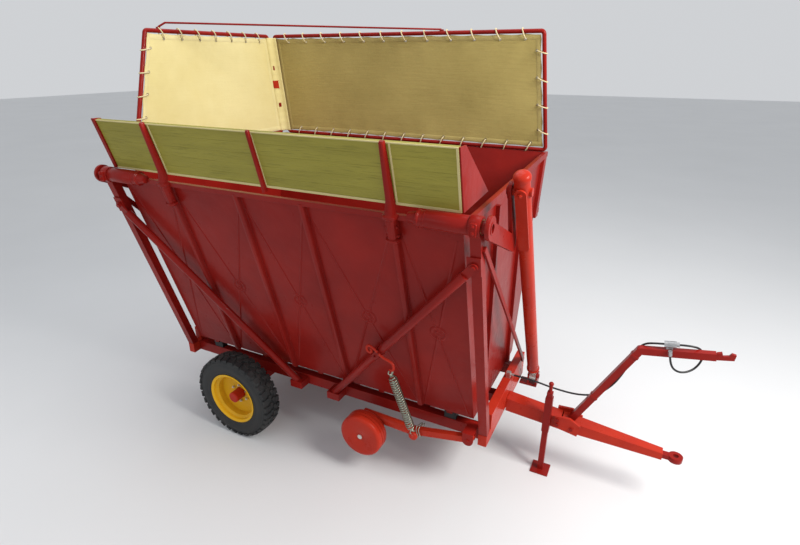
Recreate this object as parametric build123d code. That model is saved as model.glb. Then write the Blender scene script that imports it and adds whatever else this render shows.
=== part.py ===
from build123d import *
import math
import os

# High-tip side-emptying trailer, full size, in millimetres.
# +X points forwards to the drawbar, +Y to the far side, +Z up, ground at Z = 0.
# While it is drawn, X = 0 is the middle of the load box and Y = 0 its centre line.
# The last step moves everything so that the origin is under the middle of the whole cart.

# ---- driving dimensions: load box --------------------------------------------
BOX_LENGTH = 3500.0
BOX_FLOOR_WIDTH = 1350.0
BOX_BOTTOM_Z = 830.0
WALL_LEAN = 15.5          # side walls, degrees from upright
FAR_RIM_Z = 3010.0
SHEET = 6.0
RIB_DEPTH = 44.0
RIB_WIDTH = 60.0
INNER_RIB_X = 345.0
ARM_X = 1165.0
RIB_SHIFT = 45.0          # the ribs and arms stand this far forward of the middle
FLAP_HEIGHT = 460.0
FLAP_BOARDS = 5
BOARD_THICK = 30.0
CANVAS_HEIGHT = 1210.0
CANVAS_TUBE = 42.0
CANVAS_LEAN = 6.5
CANVAS_THICK = 8.0

# ---- driving dimensions: tipping gear ----------------------------------------
PIVOT_Z = 2910.0
PIVOT_TUBE = 90.0
HOUSING_OD = 150.0
HOUSING_LENGTH = 84.0
SLEEVE_OD = 138.0
SLEEVE_LENGTH = 320.0
SLEEVE_SEAT = 4.0         # how far off the side sheet the open back of a sleeve stops
BUSH_WALL = 10.0
POST = 80.0
RAM_PIN_REACH = 502.0
RAM_PIN_ANGLE = 18.0
RAM_FOOT_Y = 560.0
RAM_FOOT_Z = 656.0
RAM_BARREL = 120.0
RAM_ROD = 60.0
RAM_CAP = 150.0
RAM_PIN = 50.0

# ---- driving dimensions: chassis and running gear ----------------------------
CHASSIS_TOP_Z = 717.0
CHASSIS_WIDTH = 1276.0
RAIL_HEIGHT = 120.0
RAIL_WIDTH = 90.0
AXLE_X = -863.0
WHEEL_TRACK = 2046.0
TYRE_OD = 980.0
TYRE_WIDTH = 230.0
RIM_LIP_OD = 600.0
WHEEL_STUDS = 6
STUD_CIRCLE = 205.0
SPINDLE = 50.0

# ---- driving dimensions: drawbar ---------------------------------------------
BEAM_WIDTH = 150.0
BEAM_HEIGHT = 150.0
BEAM_TOP_Z = 715.0
KNUCKLE_X = 2500.0
EYE_X = 3500.0
EYE_Z = 525.0
EYE_BORE = 50.0
NECK_BEND = (3027.0, 1558.0)
NECK_END = (3727.0, 1674.0)
NECK_TUBE = 64.0
STAND_X = 2333.0
STAND_TUBE = 70.0
STAND_LEG = 56.0

# ---- driving dimensions: side roller -----------------------------------------
ROLLER_X = 705.0
ROLLER_Z = 483.0
ROLLER_OD = 452.0
ROLLER_WIDTH = 160.0
ROLLER_Y = -947.0
ARM_Y = -800.0
ARM_TUBE = 100.0
ARM_PIVOT_X = 1755.0
ARM_PIVOT_Z = 700.0
SPRING_OD = 80.0
SPRING_WIRE = 10.0

# ---- named clearances --------------------------------------------------------
GAP = 0.5                 # pieces of one body that are not welded
BODY_GAP = 0.3            # at rest, between a moving piece and its seat
RUN = 0.05                # radial running fit

lean = math.radians(WALL_LEAN)
half_length = BOX_LENGTH / 2
half_floor = BOX_FLOOR_WIDTH / 2


def wall_y(z, offset=0.0):
    """How far out the outer face of a side wall is at height z."""
    return half_floor + (z - BOX_BOTTOM_Z) * math.tan(lean) + offset / math.cos(lean)


pivot_y = -wall_y(PIVOT_Z, PIVOT_TUBE / 2 + GAP)
rib_x = [RIB_SHIFT + x for x in (-ARM_X, -INNER_RIB_X, INNER_RIB_X, ARM_X)]

shapes = {}


def add(name, *solids):
    """Keep one node: a single solid, or a group of separate solids."""
    flat = []
    for item in solids:
        flat.extend(item.solids())
    shapes[name] = flat[0] if len(flat) == 1 else Compound(flat)


def block(x0, x1, y0, y1, z0, z1):
    """A box between two corners."""
    size = (x1 - x0, y1 - y0, z1 - z0)
    centre = ((x0 + x1) / 2, (y0 + y1) / 2, (z0 + z1) / 2)
    return Location(centre) * Box(*size)


def rod(start, end, radius):
    """A round bar between two points."""
    a = Vector(*start)
    b = Vector(*end)
    plane = Plane(origin=a, z_dir=b - a)
    return extrude(plane * Circle(radius), (b - a).length)


def pipe(start, end, outer, inner):
    """A round tube between two points."""
    a = Vector(*start)
    b = Vector(*end)
    plane = Plane(origin=a, z_dir=b - a)
    return extrude(plane * (Circle(outer) - Circle(inner)), (b - a).length)


def bar(start, end, width, depth, across):
    """A rectangular bar between two points; width lies along the direction across."""
    a = Vector(*start)
    b = Vector(*end)
    plane = Plane(origin=a, x_dir=Vector(*across), z_dir=b - a)
    return extrude(plane * Rectangle(width, depth), (b - a).length)


def profile_x(points, x0, x1):
    """A plate whose outline is given as (y, z) points, from x0 to x1."""
    face = Plane.YZ * make_face(Polyline(*points, close=True))
    return extrude(Location((x0, 0, 0)) * face, x1 - x0, dir=(1, 0, 0))


def profile_y(points, y0, y1):
    """A plate whose outline is given as (x, z) points, from y0 to y1."""
    wire = Polyline(*[(px, 0, pz) for px, pz in points], close=True)
    return extrude(Location((0, y0, 0)) * make_face(wire), y1 - y0, dir=(0, 1, 0))


def turned_y(points, x, z):
    """A turned piece: (radius, y) points spun about the Y line through x, z."""
    wire = Polyline(*[(r, y, 0) for r, y in points], close=True)
    return Location((x, 0, z)) * revolve(make_face(wire), Axis.Y)


def round_y(x, z, radius, y0, y1):
    """A round bar along Y."""
    return rod((x, y0, z), (x, y1, z), radius)


def slab(side, x0, x1, z0, z1, inner, outer):
    """A plate that follows a side wall, between two distances from its outer face."""
    s = -1.0 if side == "near" else 1.0
    corners = [
        (s * wall_y(z0, inner), z0),
        (s * wall_y(z1, inner), z1),
        (s * wall_y(z1, outer), z1),
        (s * wall_y(z0, outer), z0),
    ]
    return profile_x(corners, x0, x1)


# ------------------------------------------------------------------------------
# Load box
# ------------------------------------------------------------------------------
FLOOR_UNDER_Z = 790.0
NEAR_TOP_Z = PIVOT_Z
END_RIB_DEPTH = 34.0
FRAME_HEIGHT = 60.0
bearer_x = (-1500.0, -750.0, 0.0, 750.0, 1500.0)


def load_box():
    floor_half = wall_y(BOX_BOTTOM_Z, -SHEET)
    inner = half_length - SHEET
    floor = block(-inner, inner, -floor_half + 2, floor_half - 2, BOX_BOTTOM_Z, BOX_BOTTOM_Z + SHEET)
    for x in bearer_x:
        floor = floor + block(x - 30, x + 30, -half_floor + 20, half_floor - 20, FLOOR_UNDER_Z,
                              BOX_BOTTOM_Z)
    add("box_floor", floor)
    add("near_wall", slab("near", -inner, inner, BOX_BOTTOM_Z, NEAR_TOP_Z, -SHEET, 0))
    add("far_wall", slab("far", -inner, inner, BOX_BOTTOM_Z, FAR_RIM_Z, -SHEET, 0))
    end = [
        (-wall_y(BOX_BOTTOM_Z), BOX_BOTTOM_Z),
        (wall_y(BOX_BOTTOM_Z), BOX_BOTTOM_Z),
        (wall_y(FAR_RIM_Z), FAR_RIM_Z),
        (-wall_y(NEAR_TOP_Z), NEAR_TOP_Z),
    ]
    walls = {1: profile_x(end, inner, half_length), -1: profile_x(end, -half_length, -inner)}
    ribs = []
    for x in rib_x:
        ribs.append(slab("near", x - RIB_WIDTH / 2, x + RIB_WIDTH / 2, BOX_BOTTOM_Z + 10,
                         PIVOT_Z - 211, 0, RIB_DEPTH))
    add("near_ribs", *ribs)
    far_ribs = []
    for x in rib_x:
        far_ribs.append(slab("far", x - RIB_WIDTH / 2, x + RIB_WIDTH / 2, BOX_BOTTOM_Z + 10,
                             FAR_RIM_Z - FRAME_HEIGHT, 0, RIB_DEPTH))
    add("far_ribs", *far_ribs)
    for s, name in ((1, "front"), (-1, "rear")):
        x0, x1 = sorted((s * half_length, s * (half_length + END_RIB_DEPTH)))
        for y in (-420.0, 420.0):
            walls[s] = walls[s] + block(x0, x1, y - 25, y + 25, BOX_BOTTOM_Z + 10,
                                        PIVOT_Z - FRAME_HEIGHT - 20)
        add(name + "_wall", walls[s])


def rim_frame():
    """Top flange: a channel along both ends and the far side, mitred as one welding."""
    end_out = END_RIB_DEPTH
    pieces = []
    for s in (-1, 1):
        x0, x1 = sorted((s * half_length, s * (half_length + end_out)))
        near = (-wall_y(NEAR_TOP_Z), NEAR_TOP_Z)
        far = (wall_y(FAR_RIM_Z), FAR_RIM_Z)
        near_low = (-wall_y(NEAR_TOP_Z - FRAME_HEIGHT), NEAR_TOP_Z - FRAME_HEIGHT)
        outline = [near, far, (far[0], far[1] - FRAME_HEIGHT), near_low]
        pieces.append(profile_x(outline, x0, x1))
    reach = half_length + end_out
    pieces.append(slab("far", -reach, reach, FAR_RIM_Z - FRAME_HEIGHT, FAR_RIM_Z, 0, RIB_DEPTH))
    frame = pieces[0] + pieces[1] + pieces[2]
    lugs = []
    lug_x = half_length + end_out
    for z in (FAR_RIM_Z - 30.0, FAR_RIM_Z - 620.0):
        y = wall_y(z, RIB_DEPTH)
        lugs.append(block(lug_x - 40, lug_x, y, y + 26, z - 26, z + 26))
        lugs.append(block(-lug_x, -lug_x + 40, y, y + 26, z - 26, z + 26))
    for s in (-1, 1):
        x0, x1 = sorted((s * half_length, s * lug_x))
        frame = frame + slab("far", x0, x1, FAR_RIM_Z - 680.0, FAR_RIM_Z - FRAME_HEIGHT, -60, RIB_DEPTH)
    for lug in lugs:
        frame = frame + lug
    add("rim_frame", frame)


FLAP_BASE_Z = PIVOT_Z + SLEEVE_OD / 2 - 1.0
ARM_DEPTH = 56.0
ARM_WIDTH = 80.0
BRACKET_DEPTH = 112.0
RAIL_DEPTH = 40.0
RAIL_LOW_Z = PIVOT_Z - 46.0


def side_flap():
    """Plank side above the pivot tube, on two stout arms, a thin rib and two end plates."""
    base = -GAP
    boards = []
    pitch = FLAP_HEIGHT / FLAP_BOARDS
    for i in range(FLAP_BOARDS):
        z0 = FLAP_BASE_Z + i * pitch
        boards.append(slab("near", -half_length, half_length, z0 + 1, z0 + pitch - 1,
                           base - BOARD_THICK, base))
    add("flap_boards", *boards)
    top = FLAP_BASE_Z + FLAP_HEIGHT
    arms = []
    for x in (rib_x[0], rib_x[3]):
        arm = slab("near", x - ARM_WIDTH / 2, x + ARM_WIDTH / 2, PIVOT_Z - 210, top + 12, 0,
                   BRACKET_DEPTH)
        cut_top = slab("near", x - 100, x + 100, FLAP_BASE_Z + 30, top + 40, ARM_DEPTH, 400)
        rail = slab("near", x - 100, x + 100, RAIL_LOW_Z, PIVOT_Z, 0, RAIL_DEPTH)
        arms.append(arm - rail - cut_top)
    arms.append(slab("near", RIB_SHIFT - 17, RIB_SHIFT + 17, FLAP_BASE_Z, top + 8, 0, 40))
    add("flap_arms", *arms)
    z_low = FLAP_BASE_Z
    plate = [
        (-wall_y(top), top),
        (-wall_y(z_low), z_low),
        (-wall_y(NEAR_TOP_Z) + 520, FAR_RIM_Z + 5),
        (-wall_y(top) + 110, top),
    ]
    gusset = profile_x(plate, half_length + GAP, half_length + GAP + 12)
    post = slab("near", -half_length - GAP - 40, -half_length - GAP, z_low, top + 10, -60, 14)
    add("flap_end_plates", gusset, post)


def canvas_side():
    """Tube frames above the rim with one cloth on the far side and one across the rear."""
    r = CANVAS_TUBE / 2
    z0 = FAR_RIM_Z + r + GAP
    z1 = z0 + CANVAS_HEIGHT - CANVAS_TUBE
    y0 = wall_y(FAR_RIM_Z) + 5
    y1 = y0 - (z1 - z0) * math.tan(math.radians(CANVAS_LEAN))
    xf = half_length + 15
    xr = -half_length + 62
    far_corners = [(xr, y0, z0), (xf, y0, z0), (xf - 110, y1, z1), (xr - 20, y1, z1)]
    add("far_canvas_frame", *frame_loop(far_corners, r))
    inset = r + 1.0
    add("far_canvas", cloth_panel(far_corners, inset))
    rear_x = -half_length - 5
    ny0 = -wall_y(NEAR_TOP_Z) + 190.0
    ny1 = -850.0 + 150.0
    fy0 = y0 - 75.0
    fy1 = y1 - 75.0
    rear_corners = [(rear_x, ny0, z0), (rear_x, fy0, z0), (rear_x, fy1, z1), (rear_x, ny1, z1)]
    add("rear_canvas_frame", *frame_loop(rear_corners, r))
    add("rear_canvas", cloth_panel(rear_corners, inset))
    return far_corners, rear_corners


def frame_loop(corners, r):
    """One closed loop of round tube with small bends, as a single solid."""
    path = FilletPolyline(*corners, radius=1.6 * r, close=True)
    return sweep(Plane(path @ 0, z_dir=path % 0) * Circle(r), path=path).solids()


def cloth_panel(corners, inset):
    """A thin flat panel inside a tube loop, clear of the tubes, with its corners cut off."""
    pts = [Vector(*c) for c in corners]
    normal = (pts[1] - pts[0]).cross(pts[3] - pts[0]).normalized()
    inner = []
    for i, p in enumerate(pts):
        before = (pts[i - 1] - p).normalized()
        after = (pts[(i + 1) % 4] - p).normalized()
        turn = math.radians(before.get_angle(after))
        step = inset / math.sin(turn)
        corner = p + before * step + after * step
        inner.append(corner + before * inset)
        inner.append(corner + after * inset)
    back = [p - normal * (CANVAS_THICK / 2) for p in inner]
    face = make_face(Polyline(*back, close=True))
    return extrude(face, CANVAS_THICK, dir=normal)


def canvas_ties(far_corners, rear_corners):
    """Stay rod from the rear frame to the far frame, its brackets, and the corner clip."""
    r = CANVAS_TUBE / 2
    z1 = far_corners[3][2]
    near_top = Vector(*rear_corners[3])
    rear_point = near_top + Vector(0, 160, r + 14)
    front_x = 560.0
    far_y = far_corners[3][1]
    front_point = Vector(front_x, far_y, z1 + r + 14)
    lift = Vector(60, 40, 38)
    path = FilletPolyline(rear_point, rear_point + lift, front_point, radius=20)
    stay = sweep(Plane(path @ 0, z_dir=path % 0) * Circle(9), path=path)
    foot_a = block(near_top.X - 10, near_top.X + 10, near_top.Y + 140, near_top.Y + 176,
                   z1 + r + 0.5, z1 + r + 14)
    foot_b = block(front_x - 16, front_x + 24, far_y - 14, far_y + 14, z1 + r + 0.5, z1 + r + 14)
    stay_solid = stay.solids()[0]
    foot_a = foot_a - stay_solid
    foot_b = foot_b - stay_solid
    clips = []
    for z in (rear_corners[1][2] + 350.0, rear_corners[1][2] + 800.0):
        share = (z - rear_corners[1][2]) / (rear_corners[2][2] - rear_corners[1][2])
        ya = rear_corners[1][1] + (rear_corners[2][1] - rear_corners[1][1]) * share
        xa = far_corners[0][0] + (far_corners[3][0] - far_corners[0][0]) * share
        clips.append(block(rear_corners[1][0] + r + 0.5, xa - r - 1.0, ya - 8, ya + 60, z - 25, z + 25))
    add("canvas_ties", stay, foot_a, foot_b, *clips)


# ------------------------------------------------------------------------------
# Tipping gear: pivot tube, levers, posts, struts and rams
# ------------------------------------------------------------------------------
post_out_x = half_length + 155.0
post_in_x = post_out_x - POST
housing_end = post_out_x + 3.0
lever_in = housing_end + 37.0
LEVER_THICK = 30.0
lever_out = lever_in + LEVER_THICK
ram_x = lever_out + 7.0 + RAM_BARREL / 2
pin_angle = math.radians(RAM_PIN_ANGLE)
pin_y = pivot_y + RAM_PIN_REACH * math.cos(pin_angle)
pin_z = PIVOT_Z + RAM_PIN_REACH * math.sin(pin_angle)
FRAME_FOOT_Y = -690.0


def pivot_gear():
    """Two stub shafts with their sleeves on the box, and the housings on the posts."""
    bush_r = PIVOT_TUBE / 2 + BUSH_WALL
    shafts = []
    sleeves = []
    bushes = []
    housings = {}
    inside = slab("near", -half_length - 200, half_length + 200, PIVOT_Z - 300, PIVOT_Z + 300, -400,
                  SLEEVE_SEAT)
    for s, name in ((1, "front"), (-1, "rear")):
        sleeve_end = housing_end - HOUSING_LENGTH - 3.0
        x0, x1 = sorted((s * (sleeve_end - SLEEVE_LENGTH), s * (lever_out + 4.0)))
        shafts.append(pipe((x0, pivot_y, PIVOT_Z), (x1, pivot_y, PIVOT_Z), PIVOT_TUBE / 2,
                           PIVOT_TUBE / 2 - 12))
        x0, x1 = sorted((s * (sleeve_end - SLEEVE_LENGTH), s * sleeve_end))
        sleeve = pipe((x0, pivot_y, PIVOT_Z), (x1, pivot_y, PIVOT_Z), SLEEVE_OD / 2, PIVOT_TUBE / 2)
        sleeves.append(sleeve - inside)
        x0, x1 = sorted((s * (housing_end - HOUSING_LENGTH), s * housing_end))
        start = (x0, pivot_y, PIVOT_Z)
        end = (x1, pivot_y, PIVOT_Z)
        housings[name] = pipe(start, end, HOUSING_OD / 2, bush_r)
        bushes.append(pipe(start, end, bush_r, PIVOT_TUBE / 2 + RUN))
    add("pivot_shafts", *shafts)
    add("pivot_bushes", *bushes)
    rail_end = sleeve_end - SLEEVE_LENGTH - 4.0
    top_rail = slab("near", -rail_end, rail_end, RAIL_LOW_Z, PIVOT_Z, 0, RAIL_DEPTH)
    add("pivot_carriers", top_rail, *sleeves)
    return housings


def lever(s):
    """L-shaped tipping lever keyed on the end of the pivot tube."""
    corner = (-655.0, 2600.0)
    width = 130.0
    x0, x1 = sorted((s * lever_in, s * lever_out))

    def strap(a, b, w):
        along = Vector(0, b[0] - a[0], b[1] - a[1])
        side = Vector(0, -along.Z, along.Y).normalized() * (w / 2)
        outline = [
            (a[0] + side.Y, a[1] + side.Z),
            (b[0] + side.Y, b[1] + side.Z),
            (b[0] - side.Y, b[1] - side.Z),
            (a[0] - side.Y, a[1] - side.Z),
        ]
        return profile_x(outline, x0, x1)

    hub = rod((x0, pivot_y, PIVOT_Z), (x1, pivot_y, PIVOT_Z), 85)
    elbow = rod((x0, *corner), (x1, *corner), width / 2)
    eye = rod((x0, pin_y, pin_z), (x1, pin_y, pin_z), 70)
    body = hub + strap((pivot_y, PIVOT_Z - 20), corner, width) + elbow
    body = body + strap(corner, (pin_y, pin_z), width * 0.8) + eye
    body = body - rod((x0 - 1, pivot_y, PIVOT_Z), (x1 + 1, pivot_y, PIVOT_Z), PIVOT_TUBE / 2)
    return body - rod((x0 - 1, pin_y, pin_z), (x1 + 1, pin_y, pin_z), RAM_PIN / 2)


def levers():
    both = []
    for s in (-1, 1):
        x0, x1 = sorted((s * (lever_in - 16), s * lever_out))
        pin = rod((x0, pin_y, pin_z), (x1, pin_y, pin_z), RAM_PIN / 2)
        h0, h1 = sorted((s * (lever_in - 16), s * (lever_in - GAP)))
        head = rod((h0, pin_y, pin_z), (h1, pin_y, pin_z), RAM_PIN / 2 + 12)
        both.append(lever(s) + pin + head)
    add("tip_levers", *both)


def frame_y(z):
    """Middle line of the tipping posts, from the chassis foot to the pivot."""
    share = (z - CHASSIS_TOP_Z) / (PIVOT_Z - CHASSIS_TOP_Z)
    return FRAME_FOOT_Y + (pivot_y - FRAME_FOOT_Y) * share


STRUT = 76.0
STRUT_OUT = RIB_DEPTH + STRUT / 2 + 18.0
STRUT_TOP_Z = 2600.0
STRUT_FOOT_Z = 690.0
STRUT_SEAT_Z = 700.0
STRUT_FOOT_X = 240.0


def strut_y(z):
    return -wall_y(z, STRUT_OUT)


STRUT_BOLT = 24.0
outward = Vector(0, -math.cos(lean), -math.sin(lean))


def strut_top(s):
    """Where the strut's bolt crosses its middle line, on the post."""
    return Vector(s * (post_in_x + 26), strut_y(STRUT_TOP_Z), STRUT_TOP_Z)


def tip_posts(housings):
    posts = []
    for s, name in ((1, "front"), (-1, "rear")):
        x = s * (post_out_x + post_in_x) / 2
        foot = (x, FRAME_FOOT_Y, CHASSIS_TOP_Z)
        head = (x, pivot_y, PIVOT_Z)
        post = bar(foot, head, POST, POST, (1, 0, 0))
        bush_r = PIVOT_TUBE / 2 + BUSH_WALL
        hollow = rod((x - 200, pivot_y, PIVOT_Z), (x + 200, pivot_y, PIVOT_Z), bush_r)
        post = post - hollow
        under = block(x - 200, x + 200, -4000, 4000, 0, CHASSIS_TOP_Z)
        post = post - under
        z = STRUT_TOP_Z
        x0, x1 = sorted((s * (post_in_x - 24), s * post_out_x))
        lug = slab("near", x0, x1, z - 75, z + 75, STRUT_OUT - 16, STRUT_OUT - 1)
        reach = slab("near", min(s * post_in_x, s * post_out_x), max(s * post_in_x, s * post_out_x),
                     z - 60, z + 60, STRUT_OUT - 50, STRUT_OUT - 1)
        bolt_line = strut_top(s)
        hole = rod(bolt_line - outward * 60, bolt_line + outward * 60, STRUT_BOLT / 2)
        lug = (lug + reach) - hole
        post = post - hole
        posts.append(post + housings[name] + lug)
    add("tip_posts", *posts)


def struts():
    bolts = []
    shanks = []
    flat = 16.0
    for s in (1, -1):
        top = strut_top(s)
        foot = Vector(s * STRUT_FOOT_X, strut_y(STRUT_FOOT_Z), STRUT_FOOT_Z)
        run = (foot - top).normalized()
        across = run.cross(outward)
        tube = rod(top + run * 105, foot + run * 60, STRUT / 2)
        tab = Plane(origin=top + outward * (flat / 2), x_dir=across, z_dir=run)
        tab = extrude(tab * Rectangle(70, flat), 150)
        ear = rod(top, top + outward * flat, 35)
        shank = tube + tab + ear
        shank = shank - rod(top - outward * 60, top + outward * 60, STRUT_BOLT / 2)
        shanks.append(shank & block(-3000, 3000, -3000, 0, STRUT_SEAT_Z + GAP, 4000))
        low = top - outward * 34
        high = top + outward * (flat + 14)
        bolt = rod(low, high, STRUT_BOLT / 2 - 0.1)
        bolts.append(bolt + rod(top + outward * flat, high, 20))
    add("struts", *shanks)
    braces = []
    for s in (1, -1):
        x = s * (post_out_x + 11)
        top = (x, frame_y(2740) + 5, 2740)
        foot = (x, RAM_FOOT_Y - 30, CROSS_TOP_Z - 40)
        braces.append(bar(top, foot, 20, 48, (1, 0, 0)))
    add("post_braces", *braces)
    return bolts


# ------------------------------------------------------------------------------
# Chassis
# ------------------------------------------------------------------------------
CROSS_TOP_Z = 880.0
RAIL_X = post_in_x - 4.0


def chassis():
    bottom = CHASSIS_TOP_Z - RAIL_HEIGHT
    half = CHASSIS_WIDTH / 2
    rails = []
    for s in (-1, 1):
        y0, y1 = sorted((s * half, s * (half - RAIL_WIDTH)))
        rails.append(block(-RAIL_X, RAIL_X, y0, y1, bottom, CHASSIS_TOP_Z))
    beams = []
    for s in (1, -1):
        x0, x1 = sorted((s * RAIL_X, s * post_out_x))
        y0 = FRAME_FOOT_Y - POST / 2 - 6
        y1 = half
        beam = block(x0, x1, y0, y1, bottom, CHASSIS_TOP_Z)
        tall = block(x0, x1, FRAME_FOOT_Y + 80, y1, CHASSIS_TOP_Z, CROSS_TOP_Z)
        beams.append(beam + tall)
    add("end_beams", *beams)
    inner = half - RAIL_WIDTH
    members = []
    for x in (AXLE_X, 300.0, 1200.0):
        members.append(block(x - 50, x + 50, -inner, inner, bottom + 10, CHASSIS_TOP_Z - 10))
    spine = block(300, RAIL_X, -50, 50, bottom + 10, CHASSIS_TOP_Z - 10)
    add("cross_members", members[0], members[1] + members[2] + spine)
    z0 = CHASSIS_TOP_Z - RAIL_HEIGHT
    seat_out = -strut_y(STRUT_SEAT_Z) + STRUT / 2 + 6
    for s in (-1, 1):
        x = s * STRUT_FOOT_X
        rails[0] = rails[0] + block(x - 75, x + 75, -seat_out, -half, z0 + 20, STRUT_SEAT_Z)
    add("chassis_rails", *rails)
    pads = []
    for x in (-1500.0, 1500.0):
        for s in (-1, 1):
            y = s * (half - RAIL_WIDTH / 2)
            pads.append(block(x - 60, x + 60, y - 38, y + 38, CHASSIS_TOP_Z, FLOOR_UNDER_Z - BODY_GAP))
    add("rest_pads", *pads)


AXLE = 90.0
AXLE_Z = TYRE_OD / 2
HUB_IN = 132.0             # from the wheel's middle to the inner end of its hub
HUB_OUT = 92.0             # from the wheel's middle to the outer end of its hub


def axle():
    z0 = AXLE_Z - AXLE / 2
    inner_end = WHEEL_TRACK / 2 - HUB_IN - 12
    beam = block(AXLE_X - AXLE / 2, AXLE_X + AXLE / 2, -inner_end, inner_end, z0, z0 + AXLE)
    for s in (-1, 1):
        y0, y1 = sorted((s * inner_end, s * (WHEEL_TRACK / 2 + HUB_OUT - 22)))
        beam = beam + round_y(AXLE_X, AXLE_Z, SPINDLE / 2, y0, y1)
    top = CHASSIS_TOP_Z - RAIL_HEIGHT
    for s in (-1, 1):
        y = s * (CHASSIS_WIDTH / 2 - RAIL_WIDTH / 2)
        beam = beam + block(AXLE_X - 90, AXLE_X + 90, y - 45, y + 45, z0 + AXLE, top)
    add("axle_beam", beam)
    bolts = []
    for s in (-1, 1):
        y = s * (CHASSIS_WIDTH / 2 - RAIL_WIDTH / 2)
        for dx in (-65.0, 65.0):
            for dy in (-30.0, 30.0):
                x = AXLE_X + dx
                yy = y + dy
                low = z0 + AXLE - 16
                bolts.append(rod((x, yy, low), (x, yy, z0 + AXLE), 12))
    return bolts


def wheel(s, name):
    """Tyre, rim, hub, bearings, nuts and cap of one wheel; s is -1 on the near side."""
    mid = s * WHEEL_TRACK / 2
    r_tyre = TYRE_OD / 2
    r_lip = RIM_LIP_OD / 2
    half_w = TYRE_WIDTH / 2
    bead = r_lip - 22
    seat_w = half_w - 20

    def spin(points):
        return turned_y([(r, mid + s * y) for r, y in points], AXLE_X, AXLE_Z)

    tyre = spin([
        (bead + 0.0, -seat_w + 4), (r_lip + 14, -half_w + 6), (r_lip + 70, -half_w),
        (r_tyre - 45, -half_w), (r_tyre - 12, -half_w + 16), (r_tyre, -half_w + 40),
        (r_tyre, half_w - 40), (r_tyre - 12, half_w - 16), (r_tyre - 45, half_w),
        (r_lip + 70, half_w), (r_lip + 14, half_w - 6), (bead + 0.0, seat_w - 4),
        (bead + 16, seat_w - 30), (r_lip + 60, half_w - 26), (r_tyre - 40, half_w - 30),
        (r_tyre - 30, 0), (r_tyre - 40, -half_w + 30), (r_lip + 60, -half_w + 26),
        (bead + 16, -seat_w + 30),
    ])
    add("tyre_" + name, tyre)
    t = 7.0
    disc_y = -40.0
    hub_r = 62.0
    rim = spin([
        (r_lip, half_w - 6), (r_lip - 4, half_w - 2), (bead - t, seat_w + 6), (bead - t, seat_w - 26),
        (bead - 34, seat_w - 44), (bead - 34, disc_y + 24), (150, disc_y + 10), (128, disc_y + t),
        (hub_r + 3, disc_y + t), (hub_r + 3, disc_y), (132, disc_y), (158, disc_y - 2),
        (bead - 34, disc_y + 6), (bead - 34, -seat_w + 44), (bead - t, -seat_w + 26),
        (bead - t, -seat_w - 6), (r_lip - 4, -half_w + 2), (r_lip, -half_w + 6),
        (bead, -seat_w), (bead, -seat_w + 28), (bead - 27, -seat_w + 44), (bead - 27, seat_w - 44),
        (bead, seat_w - 28), (bead, seat_w),
    ])
    holes = []
    for i in range(WHEEL_STUDS):
        a = 2 * math.pi * (i + 0.5) / WHEEL_STUDS
        cx = AXLE_X + STUD_CIRCLE / 2 * math.cos(a)
        cz = AXLE_Z + STUD_CIRCLE / 2 * math.sin(a)
        holes.append((cx, cz))
        y0, y1 = sorted((mid + s * (disc_y - 5), mid + s * (disc_y + t + 5)))
        rim = rim - round_y(cx, cz, 10.5, y0, y1)
    add("rim_" + name, rim)
    br = SPINDLE / 2 + 22
    hub = spin([
        (br, -HUB_IN), (hub_r, -HUB_IN), (hub_r, disc_y - 26), (126, disc_y - 20),
        (126, disc_y - GAP), (hub_r, disc_y - GAP), (hub_r, HUB_OUT - 20), (br, HUB_OUT - 20),
        (br, HUB_OUT - 48), (SPINDLE / 2 + 8, HUB_OUT - 48), (SPINDLE / 2 + 8, -HUB_IN + 28),
        (br, -HUB_IN + 28),
    ])
    bearings = []
    for y0, y1 in ((-HUB_IN, -HUB_IN + 28), (HUB_OUT - 48, HUB_OUT - 20)):
        bearings.append(spin([(SPINDLE / 2 + RUN, y0 + 0.0), (br, y0), (br, y1), (SPINDLE / 2 + RUN, y1)]))
    add("bearings_" + name, *bearings)
    cap = spin([(0, HUB_OUT - 20), (hub_r, HUB_OUT - 20), (hub_r - 2, HUB_OUT - 6), (hub_r - 14, HUB_OUT),
                (0, HUB_OUT)])
    cap = cap - round_y(AXLE_X, AXLE_Z, SPINDLE / 2 + 3, *sorted((mid, mid + s * (HUB_OUT - 12))))
    add("hub_" + name, hub, cap)
    nuts = []
    for cx, cz in holes:
        y0 = mid + s * (disc_y + t + GAP)
        y1 = mid + s * (disc_y + t + 20)
        low, high = sorted((y0, y1))
        plane = Plane(origin=(cx, low, cz), z_dir=(0, 1, 0))
        nut = extrude(plane * RegularPolygon(15, 6), high - low)
        stud = round_y(cx, cz, 9, *sorted((mid + s * (disc_y - GAP + 0.0), mid + s * (disc_y + t + 30))))
        nuts.append(nut + stud)
    add("wheel_nuts_" + name, *nuts)


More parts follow.
